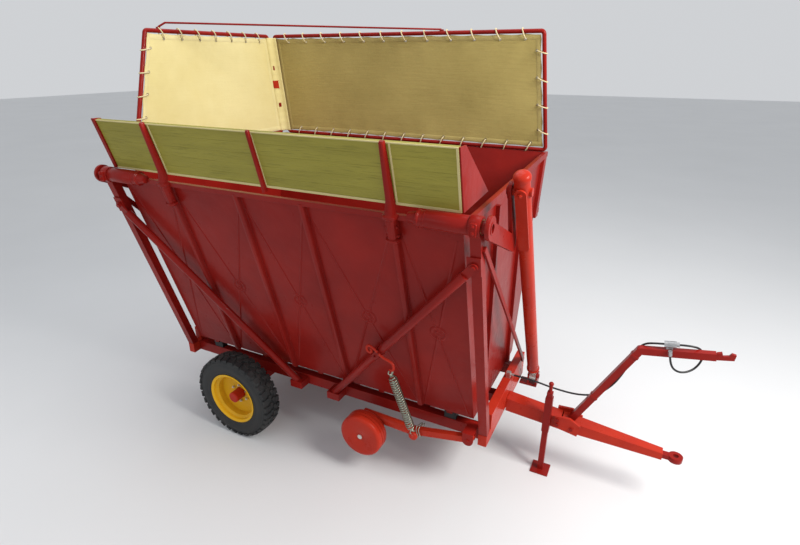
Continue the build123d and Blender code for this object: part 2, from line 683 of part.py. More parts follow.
# ------------------------------------------------------------------------------
# Rams: the barrel is at the top on the lever, the rod stands on the chassis
# ------------------------------------------------------------------------------
def ram(s, name):
    x = s * ram_x
    foot = Vector(x, RAM_FOOT_Y, RAM_FOOT_Z)
    pin = Vector(x, pin_y, pin_z)
    run = (pin - foot).normalized()
    length = (pin - foot).length
    wall = 12.0
    low = foot + run * 175
    top = pin + run * RAM_CAP
    barrel = rod(low, top - run * 26, RAM_BARREL / 2) + rod(top - run * 30, top, RAM_BARREL / 2 - 14)
    bore_r = RAM_BARREL / 2 - wall
    barrel = barrel - rod(low - run * 1, pin - run * 60, bore_r)
    boss0, boss1 = sorted((s * (lever_out + BODY_GAP), s * (ram_x - RAM_BARREL / 2 + 25)))
    boss = rod((boss0, pin_y, pin_z), (boss1, pin_y, pin_z), RAM_PIN / 2 + 14)
    outer0, outer1 = sorted((s * (ram_x + RAM_BARREL / 2 - 25), s * (ram_x + RAM_BARREL / 2 + 14)))
    cap_boss = rod((outer0, pin_y, pin_z), (outer1, pin_y, pin_z), RAM_PIN / 2 + 8)
    barrel = barrel + (boss - rod(low, pin, bore_r)) + cap_boss
    gland = rod(low - run * 14, low - run * 0.5, RAM_BARREL / 2 + 8)
    gland = gland + rod(low - run * 1, low + run * 60, bore_r)
    gland = gland - rod(low - run * 20, low + run * 70, RAM_ROD / 2 + RUN)
    add("ram_barrel_" + name, barrel, gland)
    eye_w = 70.0
    shaft = rod(foot + run * 50, pin - run * 261, RAM_ROD / 2)
    eye = rod(foot - Vector(eye_w / 2, 0, 0), foot + Vector(eye_w / 2, 0, 0), 55)
    piston = rod(pin - run * 262, pin - run * 190, bore_r - RUN)
    body = shaft + eye + rod(foot + run * 30, foot + run * 80, eye_w / 2 - 3) + piston
    body = body - rod(foot - Vector(60, 0, 0), foot + Vector(60, 0, 0), RAM_PIN / 2 + RUN)
    add("ram_rod_" + name, body)
    return eye_w, length


def ram_feet(eye_w):
    pins = []
    plates = []
    for s in (-1, 1):
        x = s * ram_x
        for side in (-1, 1):
            face = x + side * (eye_w / 2 + BODY_GAP)
            x0, x1 = sorted((face, face + side * 18))
            cheek = block(x0, x1, RAM_FOOT_Y - 62, RAM_FOOT_Y + 62, RAM_FOOT_Z - 90, RAM_FOOT_Z)
            cheek = cheek + rod((x0, RAM_FOOT_Y, RAM_FOOT_Z), (x1, RAM_FOOT_Y, RAM_FOOT_Z), 62)
            cheek = cheek - rod((x0 - 1, RAM_FOOT_Y, RAM_FOOT_Z), (x1 + 1, RAM_FOOT_Y, RAM_FOOT_Z),
                                RAM_PIN / 2)
            plates.append(cheek)
        base0, base1 = sorted((s * post_out_x, x + s * (eye_w / 2 + 18 + BODY_GAP)))
        plates.append(block(base0, base1, RAM_FOOT_Y - 62, RAM_FOOT_Y + 62, RAM_FOOT_Z - 110,
                            RAM_FOOT_Z - 90))
        out0, out1 = sorted((x - s * (eye_w / 2 + 26), x + s * (eye_w / 2 + 30)))
        pin = rod((out0, RAM_FOOT_Y, RAM_FOOT_Z), (out1, RAM_FOOT_Y, RAM_FOOT_Z), RAM_PIN / 2)
        pins.append(pin)
    feet = []
    for s in (-1, 1):
        parts = [p for p in plates if p.center().X * s > 0]
        feet.append(parts[0] + parts[1] + parts[2])
    add("ram_feet", *feet, *pins)


# ------------------------------------------------------------------------------
# Drawbar
# ------------------------------------------------------------------------------
KNUCKLE = 26.0


def neck_tip():
    """Where the neck's upper tube ends and its hook begins."""
    return Vector(NECK_END[0] - 130, 0, NECK_BEND[1] + (NECK_END[1] - NECK_BEND[1]) * 0.82)


def drawbar():
    b = BEAM_WIDTH / 2
    z0 = BEAM_TOP_Z - BEAM_HEIGHT
    end = KNUCKLE_X - 40
    beam = profile_y([(post_out_x, z0), (end, z0 - 40), (end, BEAM_TOP_Z - 60), (post_out_x, BEAM_TOP_Z)],
                     -b, b)
    add("drawbar_beam", beam)
    cheeks = []
    for s in (-1, 1):
        y0, y1 = sorted((s * (b + GAP), s * (b + GAP + KNUCKLE)))
        outline = [
            (end - 55, z0 - 10), (KNUCKLE_X + 130, z0 - 50), (KNUCKLE_X + 150, z0 + 70),
            (KNUCKLE_X + 50, BEAM_TOP_Z - 20), (end - 55, BEAM_TOP_Z - 30),
        ]
        cheeks.append(profile_y(outline, y0, y1))
    back = KNUCKLE_X - 30
    low = EYE_Z - 34
    high = EYE_Z + 40
    side = [(back, z0 - 40), (EYE_X - 110, low), (EYE_X - 110, high), (back, z0 + 85)]
    wide = b + GAP
    solid = profile_y(side, -wide, wide)
    plan = make_face(Polyline((back, -wide, 0), (back + 110, -wide, 0), (EYE_X - 110, -45, 0),
                              (EYE_X - 110, 45, 0), (back + 110, wide, 0), (back, wide, 0), close=True))
    plan_solid = extrude(plan, 1500, dir=(0, 0, 1))
    nose = (solid & plan_solid) + cheeks[0] + cheeks[1]
    add("drawbar_nose", nose)
    ring = rod((EYE_X, 0, EYE_Z - 25), (EYE_X, 0, EYE_Z + 25), 62)
    stem = block(EYE_X - 110 + GAP, EYE_X - 30, -32, 32, EYE_Z - 22, EYE_Z + 22)
    eye = ring + stem - rod((EYE_X, 0, EYE_Z - 30), (EYE_X, 0, EYE_Z + 30), EYE_BORE / 2)
    add("tow_eye", eye)
    bolts = []
    for bx, bz in ((end - 26, z0 + 30), (end - 26, z0 + 85), (KNUCKLE_X + 70, z0 + 20)):
        reach = b + KNUCKLE + GAP
        for s in (-1, 1):
            y0, y1 = sorted((s * reach, s * (reach + 16)))
            bolts.append(round_y(bx, bz, 18, y0, y1))
    half = NECK_TUBE / 2
    base = (KNUCKLE_X + 45, z0 + 35)
    start = Vector(base[0], 0, base[1] + 30)
    bend = Vector(NECK_BEND[0], 0, NECK_BEND[1])
    tip = neck_tip()
    up = bar(start, bend, NECK_TUBE, NECK_TUBE, (0, 1, 0))
    out = bar(bend, tip, NECK_TUBE, NECK_TUBE, (0, 1, 0))
    joint = round_y(NECK_BEND[0], NECK_BEND[1], half, -half, half)
    neck = up + out + joint
    neck = neck - profile_y([(back - 400, 0), (KNUCKLE_X + 400, 0), (KNUCKLE_X + 400, z0 + 50 + 0),
                             (back - 400, z0 + 130)], -200, 200)
    hx = tip.X
    hz = tip.Z
    rise = math.tan(math.radians(9.4))
    jaw = profile_y([
        (hx - 2, hz - half), (hx + 130, hz - half + 130 * rise + 6), (hx + 136, hz + half + 14),
        (hx + 104, hz + half + 20), (hx + 88, hz + half - 6), (hx + 48, hz + half - 18),
        (hx + 34, hz + half + 14), (hx - 2, hz + half),
    ], -15, 15)
    neck = neck + jaw
    for share in (0.36, 0.93):
        c = start + (bend - start) * share
        way = (bend - start).normalized()
        outer = bar(c - way * 12, c + way * 12, NECK_TUBE + 8, NECK_TUBE + 8, (0, 1, 0))
        neck = neck + outer
    add("neck_bar", neck)
    return bolts


def parking_stand():
    """Square sleeve through the beam with a sliding leg, a foot plate and a cross pin."""
    r = STAND_TUBE / 2
    leg = STAND_LEG / 2
    y = -BEAM_WIDTH / 2 - r - 6
    return y, r, leg


def stand():
    y, r, leg = parking_stand()
    x = STAND_X
    z_low = 500.0
    z_top = 900.0
    sleeve = block(x - r, x + r, y - r, y + r, z_low, z_top)
    hole = leg + 0.6
    sleeve = sleeve - block(x - hole, x + hole, y - hole, y + hole, z_low - 1, z_top + 1)
    tab = block(x - 40, x + 40, y + r, -BEAM_WIDTH / 2, 600, 660)
    add("stand_sleeve", sleeve + tab)
    shank = block(x - leg, x + leg, y - leg, y + leg, 12.0, 960.0)
    grip = rod((x, y, 958.0), (x, y, 1050.0), 17) + Location((x, y, 1050.0)) * Sphere(24)
    plate = block(x - 90, x + 90, y - 90, y + 90, 0, 12.0)
    add("stand_leg", shank + grip + plate)


# ------------------------------------------------------------------------------
# Side roller on its sprung arm
# ------------------------------------------------------------------------------
PIVOT_PIN = 30.0
ROLLER_AXLE = 30.0
SPRING_EYE_X = 1215.0


def side_roller():
    r = ARM_TUBE / 2
    tube_z = 600.0
    rear = ROLLER_X - 70
    fork_x = SPRING_EYE_X + 20
    tube_end_z = tube_z - 20
    tube = rod((rear, ARM_Y, tube_z), (fork_x, ARM_Y, tube_end_z), r)
    lever_bar = bar((fork_x - 60, ARM_Y, tube_end_z), (ARM_PIVOT_X, ARM_Y, ARM_PIVOT_Z), 60, 64, (0, 1, 0))
    boss = round_y(ARM_PIVOT_X, ARM_PIVOT_Z, 46, ARM_Y - 30, ARM_Y + 30)
    drop = block(ROLLER_X - 36, ROLLER_X + 36, ARM_Y - 18, ARM_Y + 18, ROLLER_Z - 36, tube_z)
    arm = tube + lever_bar + boss + drop
    arm = arm - round_y(ARM_PIVOT_X, ARM_PIVOT_Z, PIVOT_PIN / 2 + RUN, ARM_Y - 60, ARM_Y + 60)
    arm = arm - round_y(ROLLER_X, ROLLER_Z, ROLLER_AXLE / 2, ARM_Y - 60, ARM_Y + 60)
    arm = arm - round_y(SPRING_EYE_X, tube_end_z, 11, ARM_Y - 90, ARM_Y + 90)
    add("roller_arm", arm)
    spring_pin = round_y(SPRING_EYE_X, tube_end_z, 11, ARM_Y - 86, ARM_Y + 66)
    face_in = ROLLER_Y + ROLLER_WIDTH / 2
    face_out = ROLLER_Y - ROLLER_WIDTH / 2
    tread = ROLLER_OD / 2
    bore = ROLLER_AXLE / 2 + RUN
    roller = turned_y([
        (bore, face_out + 12), (70, face_out + 12), (96, face_out), (tread - 18, face_out),
        (tread, face_out + 18), (tread, face_in - 18), (tread - 18, face_in), (tread - 32, face_in),
        (tread - 32, face_out + 30), (bore + 24, face_out + 30), (bore + 24, face_in), (bore, face_in),
    ], ROLLER_X, ROLLER_Z)
    add("side_roller", roller)
    axle_pin = round_y(ROLLER_X, ROLLER_Z, ROLLER_AXLE / 2, face_out + 4, ARM_Y + 30)
    head = round_y(ROLLER_X, ROLLER_Z, ROLLER_AXLE / 2 + 10, face_out + 2, face_out + 12 - BODY_GAP)
    add("arm_pins", spring_pin, axle_pin + head)
    half = CHASSIS_WIDTH / 2
    z0 = CHASSIS_TOP_Z - RAIL_HEIGHT
    bracket = block(ARM_PIVOT_X - 60, ARM_PIVOT_X + 60, -half - 16, -half, z0, CHASSIS_TOP_Z)
    for side in (-1, 1):
        face = ARM_Y + side * (30 + BODY_GAP)
        y0, y1 = sorted((face, face + side * 16))
        ear = round_y(ARM_PIVOT_X, ARM_PIVOT_Z, 52, y0, y1)
        ear = ear + block(ARM_PIVOT_X - 52, ARM_PIVOT_X + 52, y0, y1, ARM_PIVOT_Z, ARM_PIVOT_Z + 80)
        bracket = bracket + ear
    roof = block(ARM_PIVOT_X - 52, ARM_PIVOT_X + 52, ARM_Y - 46 - BODY_GAP, -half - 0.0,
                 ARM_PIVOT_Z + 64, ARM_PIVOT_Z + 80)
    web = block(ARM_PIVOT_X - 52, ARM_PIVOT_X + 52, -half - 16, -half, CHASSIS_TOP_Z, ARM_PIVOT_Z + 80)
    bracket = bracket + roof + web
    bracket = bracket - round_y(ARM_PIVOT_X, ARM_PIVOT_Z, PIVOT_PIN / 2, ARM_Y - 90, ARM_Y + 60)
    pin = round_y(ARM_PIVOT_X, ARM_PIVOT_Z, PIVOT_PIN / 2, ARM_Y - 58, ARM_Y + 52)
    add("arm_bracket", bracket, pin)
    return tube_end_z


def spring_and_hook(tube_end_z):
    share_z = 1480.0
    top = strut_top(1)
    foot = Vector(STRUT_FOOT_X, strut_y(STRUT_FOOT_Z), STRUT_FOOT_Z)
    share = (STRUT_TOP_Z - share_z) / (STRUT_TOP_Z - STRUT_FOOT_Z)
    on_strut = top + (foot - top) * share
    run = (foot - top).normalized()
    ring = rod(on_strut - run * 32, on_strut + run * 32, STRUT / 2 + 8)
    ring = ring - rod(on_strut - run * 60, on_strut + run * 60, STRUT / 2)
    hook_y = on_strut.Y - STRUT / 2 - 18
    a = Vector(on_strut.X - 30, hook_y, on_strut.Z + 30)
    b = Vector(on_strut.X + 60, hook_y, on_strut.Z - 40)
    c = Vector(on_strut.X + 105, hook_y, on_strut.Z - 130)
    bow = rod(a, b, 11) + Location(b) * Sphere(11) + rod(b, c, 11)
    plate = block(on_strut.X - 24, on_strut.X + 24, hook_y - 2, on_strut.Y - STRUT / 2 - 2, on_strut.Z - 22,
                  on_strut.Z + 22)
    clamp = (ring + plate + bow) - rod(top, foot, STRUT / 2)
    add("spring_hook", clamp)
    head = Vector(c.X, hook_y, c.Z - 11 - SPRING_WIRE)
    tail = Vector(SPRING_EYE_X, ARM_Y - 70, tube_end_z + 11 + SPRING_WIRE)
    axis = (tail - head).normalized()
    coil = rod(head + axis * 40, tail - axis * 40, SPRING_OD / 2)
    coil = coil - rod(head + axis * 30, tail - axis * 30, SPRING_OD / 2 - SPRING_WIRE)
    add("arm_spring", coil)
    return head, tail


# ------------------------------------------------------------------------------
# Hydraulic hose, its fitting and its coupler
# ------------------------------------------------------------------------------
HOSE = 18.0
HOSE_SIDE = 64.0
COUPLER_LENGTH = 118.0
LOOP_SIDE = 102.0


def corner_radii(points):
    """For each corner, 0.45 of the shorter run divided by the tangent of half the turn."""
    radii = []
    for i in range(1, len(points) - 1):
        a = Vector(*points[i]) - Vector(*points[i - 1])
        b = Vector(*points[i + 1]) - Vector(*points[i])
        half_turn = math.radians(a.get_angle(b)) / 2
        radii.append(0.45 * min(a.length, b.length) / math.tan(half_turn))
    return radii


def hose_tube(name, points):
    radii = corner_radii(points)
    path = FilletPolyline(*points, radius=radii)
    tube = sweep(Plane(path @ 0, z_dir=path % 0) * Circle(HOSE / 2), path=path)
    expected = math.pi * HOSE ** 2 / 4 * path.length
    print(name, "length", round(path.length), "volume share", round(tube.volume / expected, 4),
          "radii", [round(r) for r in radii])
    add(name, tube)


def hydraulics():
    """Supply hose from the chassis fitting up the neck bar, its coupler and the parked tail."""
    side = HOSE_SIDE
    port = Vector(1930, side, CROSS_TOP_Z + 40)
    fitting = block(1850, 1894, side - 24, side + 24, CROSS_TOP_Z, CROSS_TOP_Z + 66)
    spout = rod((1890, side, port.Z), port, 15)
    add("hose_fitting", fitting + spout)
    slope = Vector(NECK_END[0] - NECK_BEND[0], 0, (NECK_END[1] - NECK_BEND[1]) * 0.82 / 0.814)
    along = slope.normalized()
    start = Vector(3203, 0, 1667)
    front = start + along * COUPLER_LENGTH
    entry = start - along * 80
    route = [
        port, (2120, side, port.Z), (2330, 82, 876), (2560, 86, 868), (2740, 76, 930),
        (2860, 70, 1080), (2930, 68, 1240), (2975, 67, 1400), (3003, 66, 1520), (3050, 46, 1606),
        entry, start,
    ]
    hose_tube("supply_hose", route)
    body = rod(start, start + along * (COUPLER_LENGTH - 24), 29)
    body = body + rod(start + along * (COUPLER_LENGTH - 30), front, 20)
    neck = bar(Vector(NECK_BEND[0], 0, NECK_BEND[1]), neck_tip(), NECK_TUBE, NECK_TUBE, (0, 1, 0))
    strap = block(start.X + 20, start.X + 70, -18, 18, start.Z - 80, start.Z - 8)
    heading = math.atan2(along.Z, along.X)
    loop = [front, front + along * LOOP_SIDE]
    for step, y in enumerate((74, 80, 16, -52, -72, -72)):
        angle = heading - math.radians(45) * (step + 1)
        way = Vector(math.cos(angle), 0, math.sin(angle))
        across = Vector(0, y - loop[-1].Y, 0)
        loop.append(loop[-1] + way * LOOP_SIDE + across)
    hose_tube("hose_tail", loop)
    socket = loop[-1]
    rest = rod(socket, socket + way * 44, 17)
    arm = block(socket.X - 16, socket.X + 12, socket.Y, -NECK_TUBE / 2, socket.Z + 16, socket.Z + 34)
    add("hose_coupler", (body + strap) - neck, (rest + arm) - neck)


load_box()
rim_frame()
side_flap()
canvas_ties(*canvas_side())
housings = pivot_gear()
levers()
tip_posts(housings)
fasteners = struts()
chassis()
fasteners = fasteners + axle()
wheel(-1, "near")
wheel(1, "far")
eye_width, _ = ram(1, "front")
ram(-1, "rear")
ram_feet(eye_width)
fasteners = fasteners + drawbar()
add("frame_bolts", *fasteners)
stand()
spring_and_hook(side_roller())
hydraulics()

os.makedirs("parts", exist_ok=True)
box = Compound(list(shapes.values())).bounding_box()
shift = Location((-(box.min.X + box.max.X) / 2, -(box.min.Y + box.max.Y) / 2, 0))
print("nodes", len(shapes), "size", box.size, "min z", box.min.Z, "shift", shift.position)
for name, shape in shapes.items():
    placed = shape.moved(shift)
    print(name, len(shape.solids()), round(shape.volume))
    export_step(placed, f"parts/{name}.step")
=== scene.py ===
import math
import random

import bmesh
import bpy
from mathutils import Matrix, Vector


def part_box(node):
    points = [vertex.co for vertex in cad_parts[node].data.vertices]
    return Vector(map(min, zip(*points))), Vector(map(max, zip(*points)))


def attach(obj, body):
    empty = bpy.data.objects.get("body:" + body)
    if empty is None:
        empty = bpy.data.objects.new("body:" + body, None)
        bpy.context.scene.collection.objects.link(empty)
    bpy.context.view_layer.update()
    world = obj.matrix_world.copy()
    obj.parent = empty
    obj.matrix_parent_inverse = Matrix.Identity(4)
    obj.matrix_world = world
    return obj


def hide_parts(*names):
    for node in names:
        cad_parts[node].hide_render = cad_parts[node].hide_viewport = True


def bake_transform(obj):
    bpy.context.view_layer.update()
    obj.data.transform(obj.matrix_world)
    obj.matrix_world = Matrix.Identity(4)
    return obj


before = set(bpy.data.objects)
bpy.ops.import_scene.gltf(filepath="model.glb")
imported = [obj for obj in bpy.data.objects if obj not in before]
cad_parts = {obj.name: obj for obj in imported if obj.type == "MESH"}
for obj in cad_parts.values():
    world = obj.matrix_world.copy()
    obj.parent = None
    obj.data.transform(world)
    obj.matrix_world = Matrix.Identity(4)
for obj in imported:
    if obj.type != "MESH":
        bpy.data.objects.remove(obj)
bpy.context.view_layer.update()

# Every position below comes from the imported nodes. MID is the middle of the
# load box along the cart and the drawbar's centre line across it, on the ground.
wall_lo, wall_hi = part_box("near_wall")
beam_lo, beam_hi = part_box("drawbar_beam")
MID = Vector(((wall_lo.x + wall_hi.x) / 2, (beam_lo.y + beam_hi.y) / 2, 0.0))


def at(x, y, z):
    """A point given in metres from MID."""
    return MID + Vector((x, y, z))


# ------------------------------------------------------------------------------
# Node helpers and materials
# ------------------------------------------------------------------------------
def new_material(name):
    mat = bpy.data.materials.new(name)
    mat.use_nodes = True
    mat.node_tree.nodes.clear()
    return mat


def node(mat, kind, inputs=None, **props):
    n = mat.node_tree.nodes.new(kind)
    for key, value in props.items():
        setattr(n, key, value)
    for key, value in (inputs or {}).items():
        n.inputs[key].default_value = value
    return n


def link(mat, a, b):
    mat.node_tree.links.new(a, b)


def coords(mat, scale=(1, 1, 1), rotation=(0, 0, 0)):
    tex = node(mat, "ShaderNodeTexCoord")
    mapping = node(mat, "ShaderNodeMapping")
    mapping.inputs["Scale"].default_value = scale
    mapping.inputs["Rotation"].default_value = rotation
    link(mat, tex.outputs["Object"], mapping.inputs["Vector"])
    return mapping.outputs["Vector"]


def noise(mat, vector, scale, detail=4.0, rough=0.55, distortion=0.0):
    n = node(mat, "ShaderNodeTexNoise",
             {"Scale": scale, "Detail": detail, "Roughness": rough, "Distortion": distortion})
    link(mat, vector, n.inputs["Vector"])
    return n.outputs["Fac"]


def ramp(mat, fac, stops):
    """stops: (position, colour or grey value)."""
    r = node(mat, "ShaderNodeValToRGB")
    while len(r.color_ramp.elements) < len(stops):
        r.color_ramp.elements.new(0.5)
    for e, (pos, col) in zip(r.color_ramp.elements, stops):
        e.position = pos
        e.color = (col, col, col, 1) if isinstance(col, (int, float)) else (*col, 1)
    link(mat, fac, r.inputs["Fac"])
    return r.outputs["Color"]


def mix(mat, fac, a, b, blend="MIX"):
    """fac is a socket or a number; a and b are sockets or colours."""
    m = node(mat, "ShaderNodeMix", data_type="RGBA", blend_type=blend)
    for value, socket in ((fac, m.inputs[0]), (a, m.inputs[6]), (b, m.inputs[7])):
        if hasattr(value, "links"):
            link(mat, value, socket)
        elif isinstance(value, (int, float)):
            socket.default_value = value
        else:
            socket.default_value = (*value, 1)
    return m.outputs[2]


def math_node(mat, op, a, b=0.0, clamp=False):
    m = node(mat, "ShaderNodeMath", operation=op, use_clamp=clamp)
    for value, socket in ((a, m.inputs[0]), (b, m.inputs[1])):
        if hasattr(value, "links"):
            link(mat, value, socket)
        else:
            socket.default_value = value
    return m.outputs[0]


def bump(mat, height, strength, distance, base=None):
    b = node(mat, "ShaderNodeBump", {"Strength": strength, "Distance": distance})
    link(mat, height, b.inputs["Height"])
    if base is not None:
        link(mat, base, b.inputs["Normal"])
    return b.outputs["Normal"]


def surface(mat, color, roughness, normal=None, metallic=0.0, coat=0.0, coat_rough=0.1, sheen=0.0,
            specular=0.5):
    """The closing shader. Constant values sit on the shader's own sockets."""
    s = node(mat, "ShaderNodeBsdfPrincipled")
    out = node(mat, "ShaderNodeOutputMaterial")
    link(mat, s.outputs["BSDF"], out.inputs["Surface"])
    for value, socket in ((color, s.inputs["Base Color"]), (roughness, s.inputs["Roughness"])):
        if hasattr(value, "links"):
            link(mat, value, socket)
        elif isinstance(value, (int, float)):
            socket.default_value = value
        else:
            socket.default_value = (*value, 1)
    s.inputs["Metallic"].default_value = metallic
    s.inputs["Coat Weight"].default_value = coat
    s.inputs["Coat Roughness"].default_value = coat_rough
    s.inputs["Sheen Weight"].default_value = sheen
    s.inputs["Specular IOR Level"].default_value = specular
    if normal is not None:
        link(mat, normal, s.inputs["Normal"])
    return mat


def paint(name, bright, deep, rough=(0.2, 0.42), wave=0.25, grain=0.12, worn=(0.30, 0.03, 0.02)):
    """Thick gloss enamel: slow waves, fine orange peel, soft tone changes, dust and thin spots."""
    mat = new_material(name)
    v = coords(mat)
    slow = noise(mat, v, 1.7, 3.0)
    tone = ramp(mat, slow, [(0.32, deep), (0.68, bright)])
    dust = ramp(mat, noise(mat, v, 5.0, 8.0, 0.7), [(0.56, 0.0), (0.80, 1.0)])
    spots = ramp(mat, noise(mat, v, 38.0, 4.0, 0.6), [(0.66, 0.0), (0.74, 1.0)])
    dusty = mix(mat, math_node(mat, "MULTIPLY", dust, 0.04), tone, (0.35, 0.12, 0.08))
    color = mix(mat, math_node(mat, "MULTIPLY", spots, 0.22), dusty, worn)
    rough_map = node(mat, "ShaderNodeMapRange")
    rough_map.inputs["To Min"].default_value = rough[0]
    rough_map.inputs["To Max"].default_value = rough[1]
    link(mat, noise(mat, v, 7.0, 6.0, 0.65), rough_map.inputs["Value"])
    normal = bump(mat, noise(mat, v, 6.5, 2.0), wave, 0.02)
    normal = bump(mat, noise(mat, v, 75.0, 2.0), grain, 0.004, normal)
    return surface(mat, color, rough_map.outputs["Result"], normal, coat=0.05, coat_rough=0.06, specular=0.11)


RED = paint("red_enamel", (0.27, 0.012, 0.008), (0.20, 0.008, 0.006), worn=(0.12, 0.010, 0.008))
# A lighter, more orange copy of the red enamel for the parts that face the key light: painted light, the same
# paint as red_enamel.
RED_LIT_COPY = paint("red_enamel_painted_lit", (0.46, 0.030, 0.012), (0.37, 0.020, 0.010), rough=(0.20, 0.38),
                   worn=(0.20, 0.02, 0.015))
YELLOW = paint("yellow_enamel", (0.78, 0.46, 0.02), (0.68, 0.37, 0.015), worn=(0.45, 0.20, 0.02))
# The cream of the unpainted board edges. The same colour also makes the painted highlight along the flap's
# top edge.
CREAM_EDGE_AND_HIGHLIGHT = paint("cream_edge_and_painted_highlight", (0.62, 0.54, 0.26), (0.52, 0.44, 0.20), rough=(0.4, 0.6),
                   worn=(0.5, 0.4, 0.2))


def boards_material():
    """Olive paint over sawn boards: grain along X, darker in the pores, worn pale on top."""
    mat = new_material("olive_boards")
    v = coords(mat, (1.4, 26.0, 26.0))
    fine = noise(mat, v, 3.0, 8.0, 0.68, 0.5)
    broad = noise(mat, coords(mat, (0.8, 5.0, 5.0)), 1.6, 4.0)
    tone = ramp(mat, broad, [(0.3, (0.245, 0.215, 0.026)), (0.7, (0.315, 0.275, 0.036))])
    pores = ramp(mat, fine, [(0.30, 1.0), (0.46, 0.0)])
    color = mix(mat, math_node(mat, "MULTIPLY", pores, 0.65), tone, (0.13, 0.12, 0.014))
    pale = ramp(mat, fine, [(0.62, 0.0), (0.78, 1.0)])
    color = mix(mat, math_node(mat, "MULTIPLY", pale, 0.50), color, (0.44, 0.40, 0.09))
    normal = bump(mat, fine, 0.55, 0.006)
    return surface(mat, color, ramp(mat, fine, [(0.2, 0.62), (0.8, 0.45)]), normal, specular=0.35)


def canvas_material(name, light, dark):
    """Waxed canvas: a fine square weave, slubs along X, soft creases and faint stains."""
    mat = new_material(name)
    v = coords(mat)
    weave = []
    for direction in ("X", "Z", "Y"):
        w = node(mat, "ShaderNodeTexWave", {"Scale": 48.0, "Distortion": 0.6, "Detail": 1.0},
                 wave_type="BANDS", bands_direction=direction)
        link(mat, v, w.inputs["Vector"])
        weave.append(w.outputs["Fac"])
    cloth = math_node(mat, "ADD", math_node(mat, "ADD", weave[0], weave[1]), weave[2])
    slub = noise(mat, coords(mat, (2.0, 2.0, 40.0)), 2.0, 5.0, 0.6)
    stain = ramp(mat, noise(mat, v, 1.1, 5.0, 0.6), [(0.35, dark), (0.62, light)])
    slubs = math_node(mat, "MULTIPLY", ramp(mat, slub, [(0.45, 0.0), (0.75, 1.0)]), 0.25)
    color = mix(mat, slubs, stain, dark)
    thread = ramp(mat, cloth, [(0.0, 0.0), (1.0, 1.0)])
    color = mix(mat, math_node(mat, "MULTIPLY", thread, 0.10), color, (0.36, 0.30, 0.12))
    normal = bump(mat, noise(mat, v, 3.2, 3.0, 0.5), 0.35, 0.02)
    normal = bump(mat, slub, 0.30, 0.006, normal)
    normal = bump(mat, cloth, 0.20, 0.002, normal)
    return surface(mat, color, 0.78, normal, sheen=0.25, specular=0.25)


CANVAS = canvas_material("canvas_cream", (0.84, 0.74, 0.36), (0.76, 0.65, 0.28))
# The far canvas is the same cloth as the rear one, made darker and more olive: painted shade for its side
# facing away from the key light.
CANVAS_PAINTED_SHADE = canvas_material("canvas_painted_shade", (0.47, 0.37, 0.115), (0.37, 0.285, 0.080))


def rope_material():
    mat = new_material("lacing_rope")
    v = coords(mat)
    w = node(mat, "ShaderNodeTexWave", {"Scale": 60.0, "Distortion": 1.5}, wave_type="BANDS",
             bands_direction="DIAGONAL")
    link(mat, v, w.inputs["Vector"])
    color = mix(mat, w.outputs["Fac"], (0.58, 0.47, 0.24), (0.80, 0.70, 0.44))
    return surface(mat, color, 0.8, bump(mat, w.outputs["Fac"], 0.5, 0.003), sheen=0.2, specular=0.2)


def rubber(name, tone, dust_tone, amount, rough):
    mat = new_material(name)
    v = coords(mat)
    dust = ramp(mat, noise(mat, v, 9.0, 8.0, 0.7), [(0.45, 0.0), (0.75, 1.0)])
    color = mix(mat, math_node(mat, "MULTIPLY", dust, amount), tone, dust_tone)
    grain = noise(mat, v, 160.0, 3.0)
    return surface(mat, color, ramp(mat, dust, [(0.0, rough), (1.0, min(rough + 0.2, 1.0))]),
                   bump(mat, grain, 0.25, 0.002), specular=0.4)


TYRE = rubber("tyre_rubber", (0.012, 0.013, 0.014), (0.06, 0.055, 0.05), 0.5, 0.55)
HOSE = rubber("hose_rubber", (0.010, 0.010, 0.011), (0.05, 0.05, 0.05), 0.2, 0.35)


def steel(name, tone, rough=(0.22, 0.45), stain=(0.30, 0.27, 0.22)):
    mat = new_material(name)
    v = coords(mat)
    grime = ramp(mat, noise(mat, v, 22.0, 6.0, 0.65), [(0.50, 0.0), (0.78, 1.0)])
    color = mix(mat, math_node(mat, "MULTIPLY", grime, 0.6), tone, stain)
    r = ramp(mat, noise(mat, v, 30.0, 4.0), [(0.3, rough[0]), (0.7, rough[1])])
    return surface(mat, color, r, bump(mat, noise(mat, v, 180.0, 3.0), 0.12, 0.001), metallic=0.95)


STEEL = steel("bright_steel", (0.62, 0.61, 0.58))
ZINC = steel("zinc_spring", (0.34, 0.36, 0.29), (0.25, 0.45), (0.16, 0.17, 0.12))
BRONZE = steel("bronze", (0.55, 0.36, 0.14), stain=(0.20, 0.13, 0.06))
GREY = steel("grey_coupler", (0.42, 0.43, 0.44), (0.35, 0.55), (0.25, 0.25, 0.25))

# ------------------------------------------------------------------------------
# Mesh helpers
# ------------------------------------------------------------------------------
def finish_piece(obj, body, slot, *nodes_replaced):
    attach(obj, body)
    if nodes_replaced:
        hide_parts(*nodes_replaced)
    return obj


def mesh_piece(name, verts, faces, mat, smooth=True):
    me = bpy.data.meshes.new(name)
    me.from_pydata([tuple(v) for v in verts], [], faces)
    me.validate()
    me.update()
    bm = bmesh.new()
    bm.from_mesh(me)
    bmesh.ops.recalc_face_normals(bm, faces=bm.faces)
    bm.to_mesh(me)
    bm.free()
    for poly in me.polygons:
        poly.use_smooth = smooth
    obj = bpy.data.objects.new(name, me)
    bpy.context.scene.collection.objects.link(obj)
    me.materials.append(mat)
    return obj


def bevelled(obj, width, angle=30):
    weld = obj.modifiers.new("weld", "WELD")
    weld.merge_threshold = 0.00002
    b = obj.modifiers.new("bevel", "BEVEL")
    b.width = width
    b.segments = 2
    b.limit_method = "ANGLE"
    b.angle_limit = math.radians(angle)
    b.harden_normals = True
    return obj


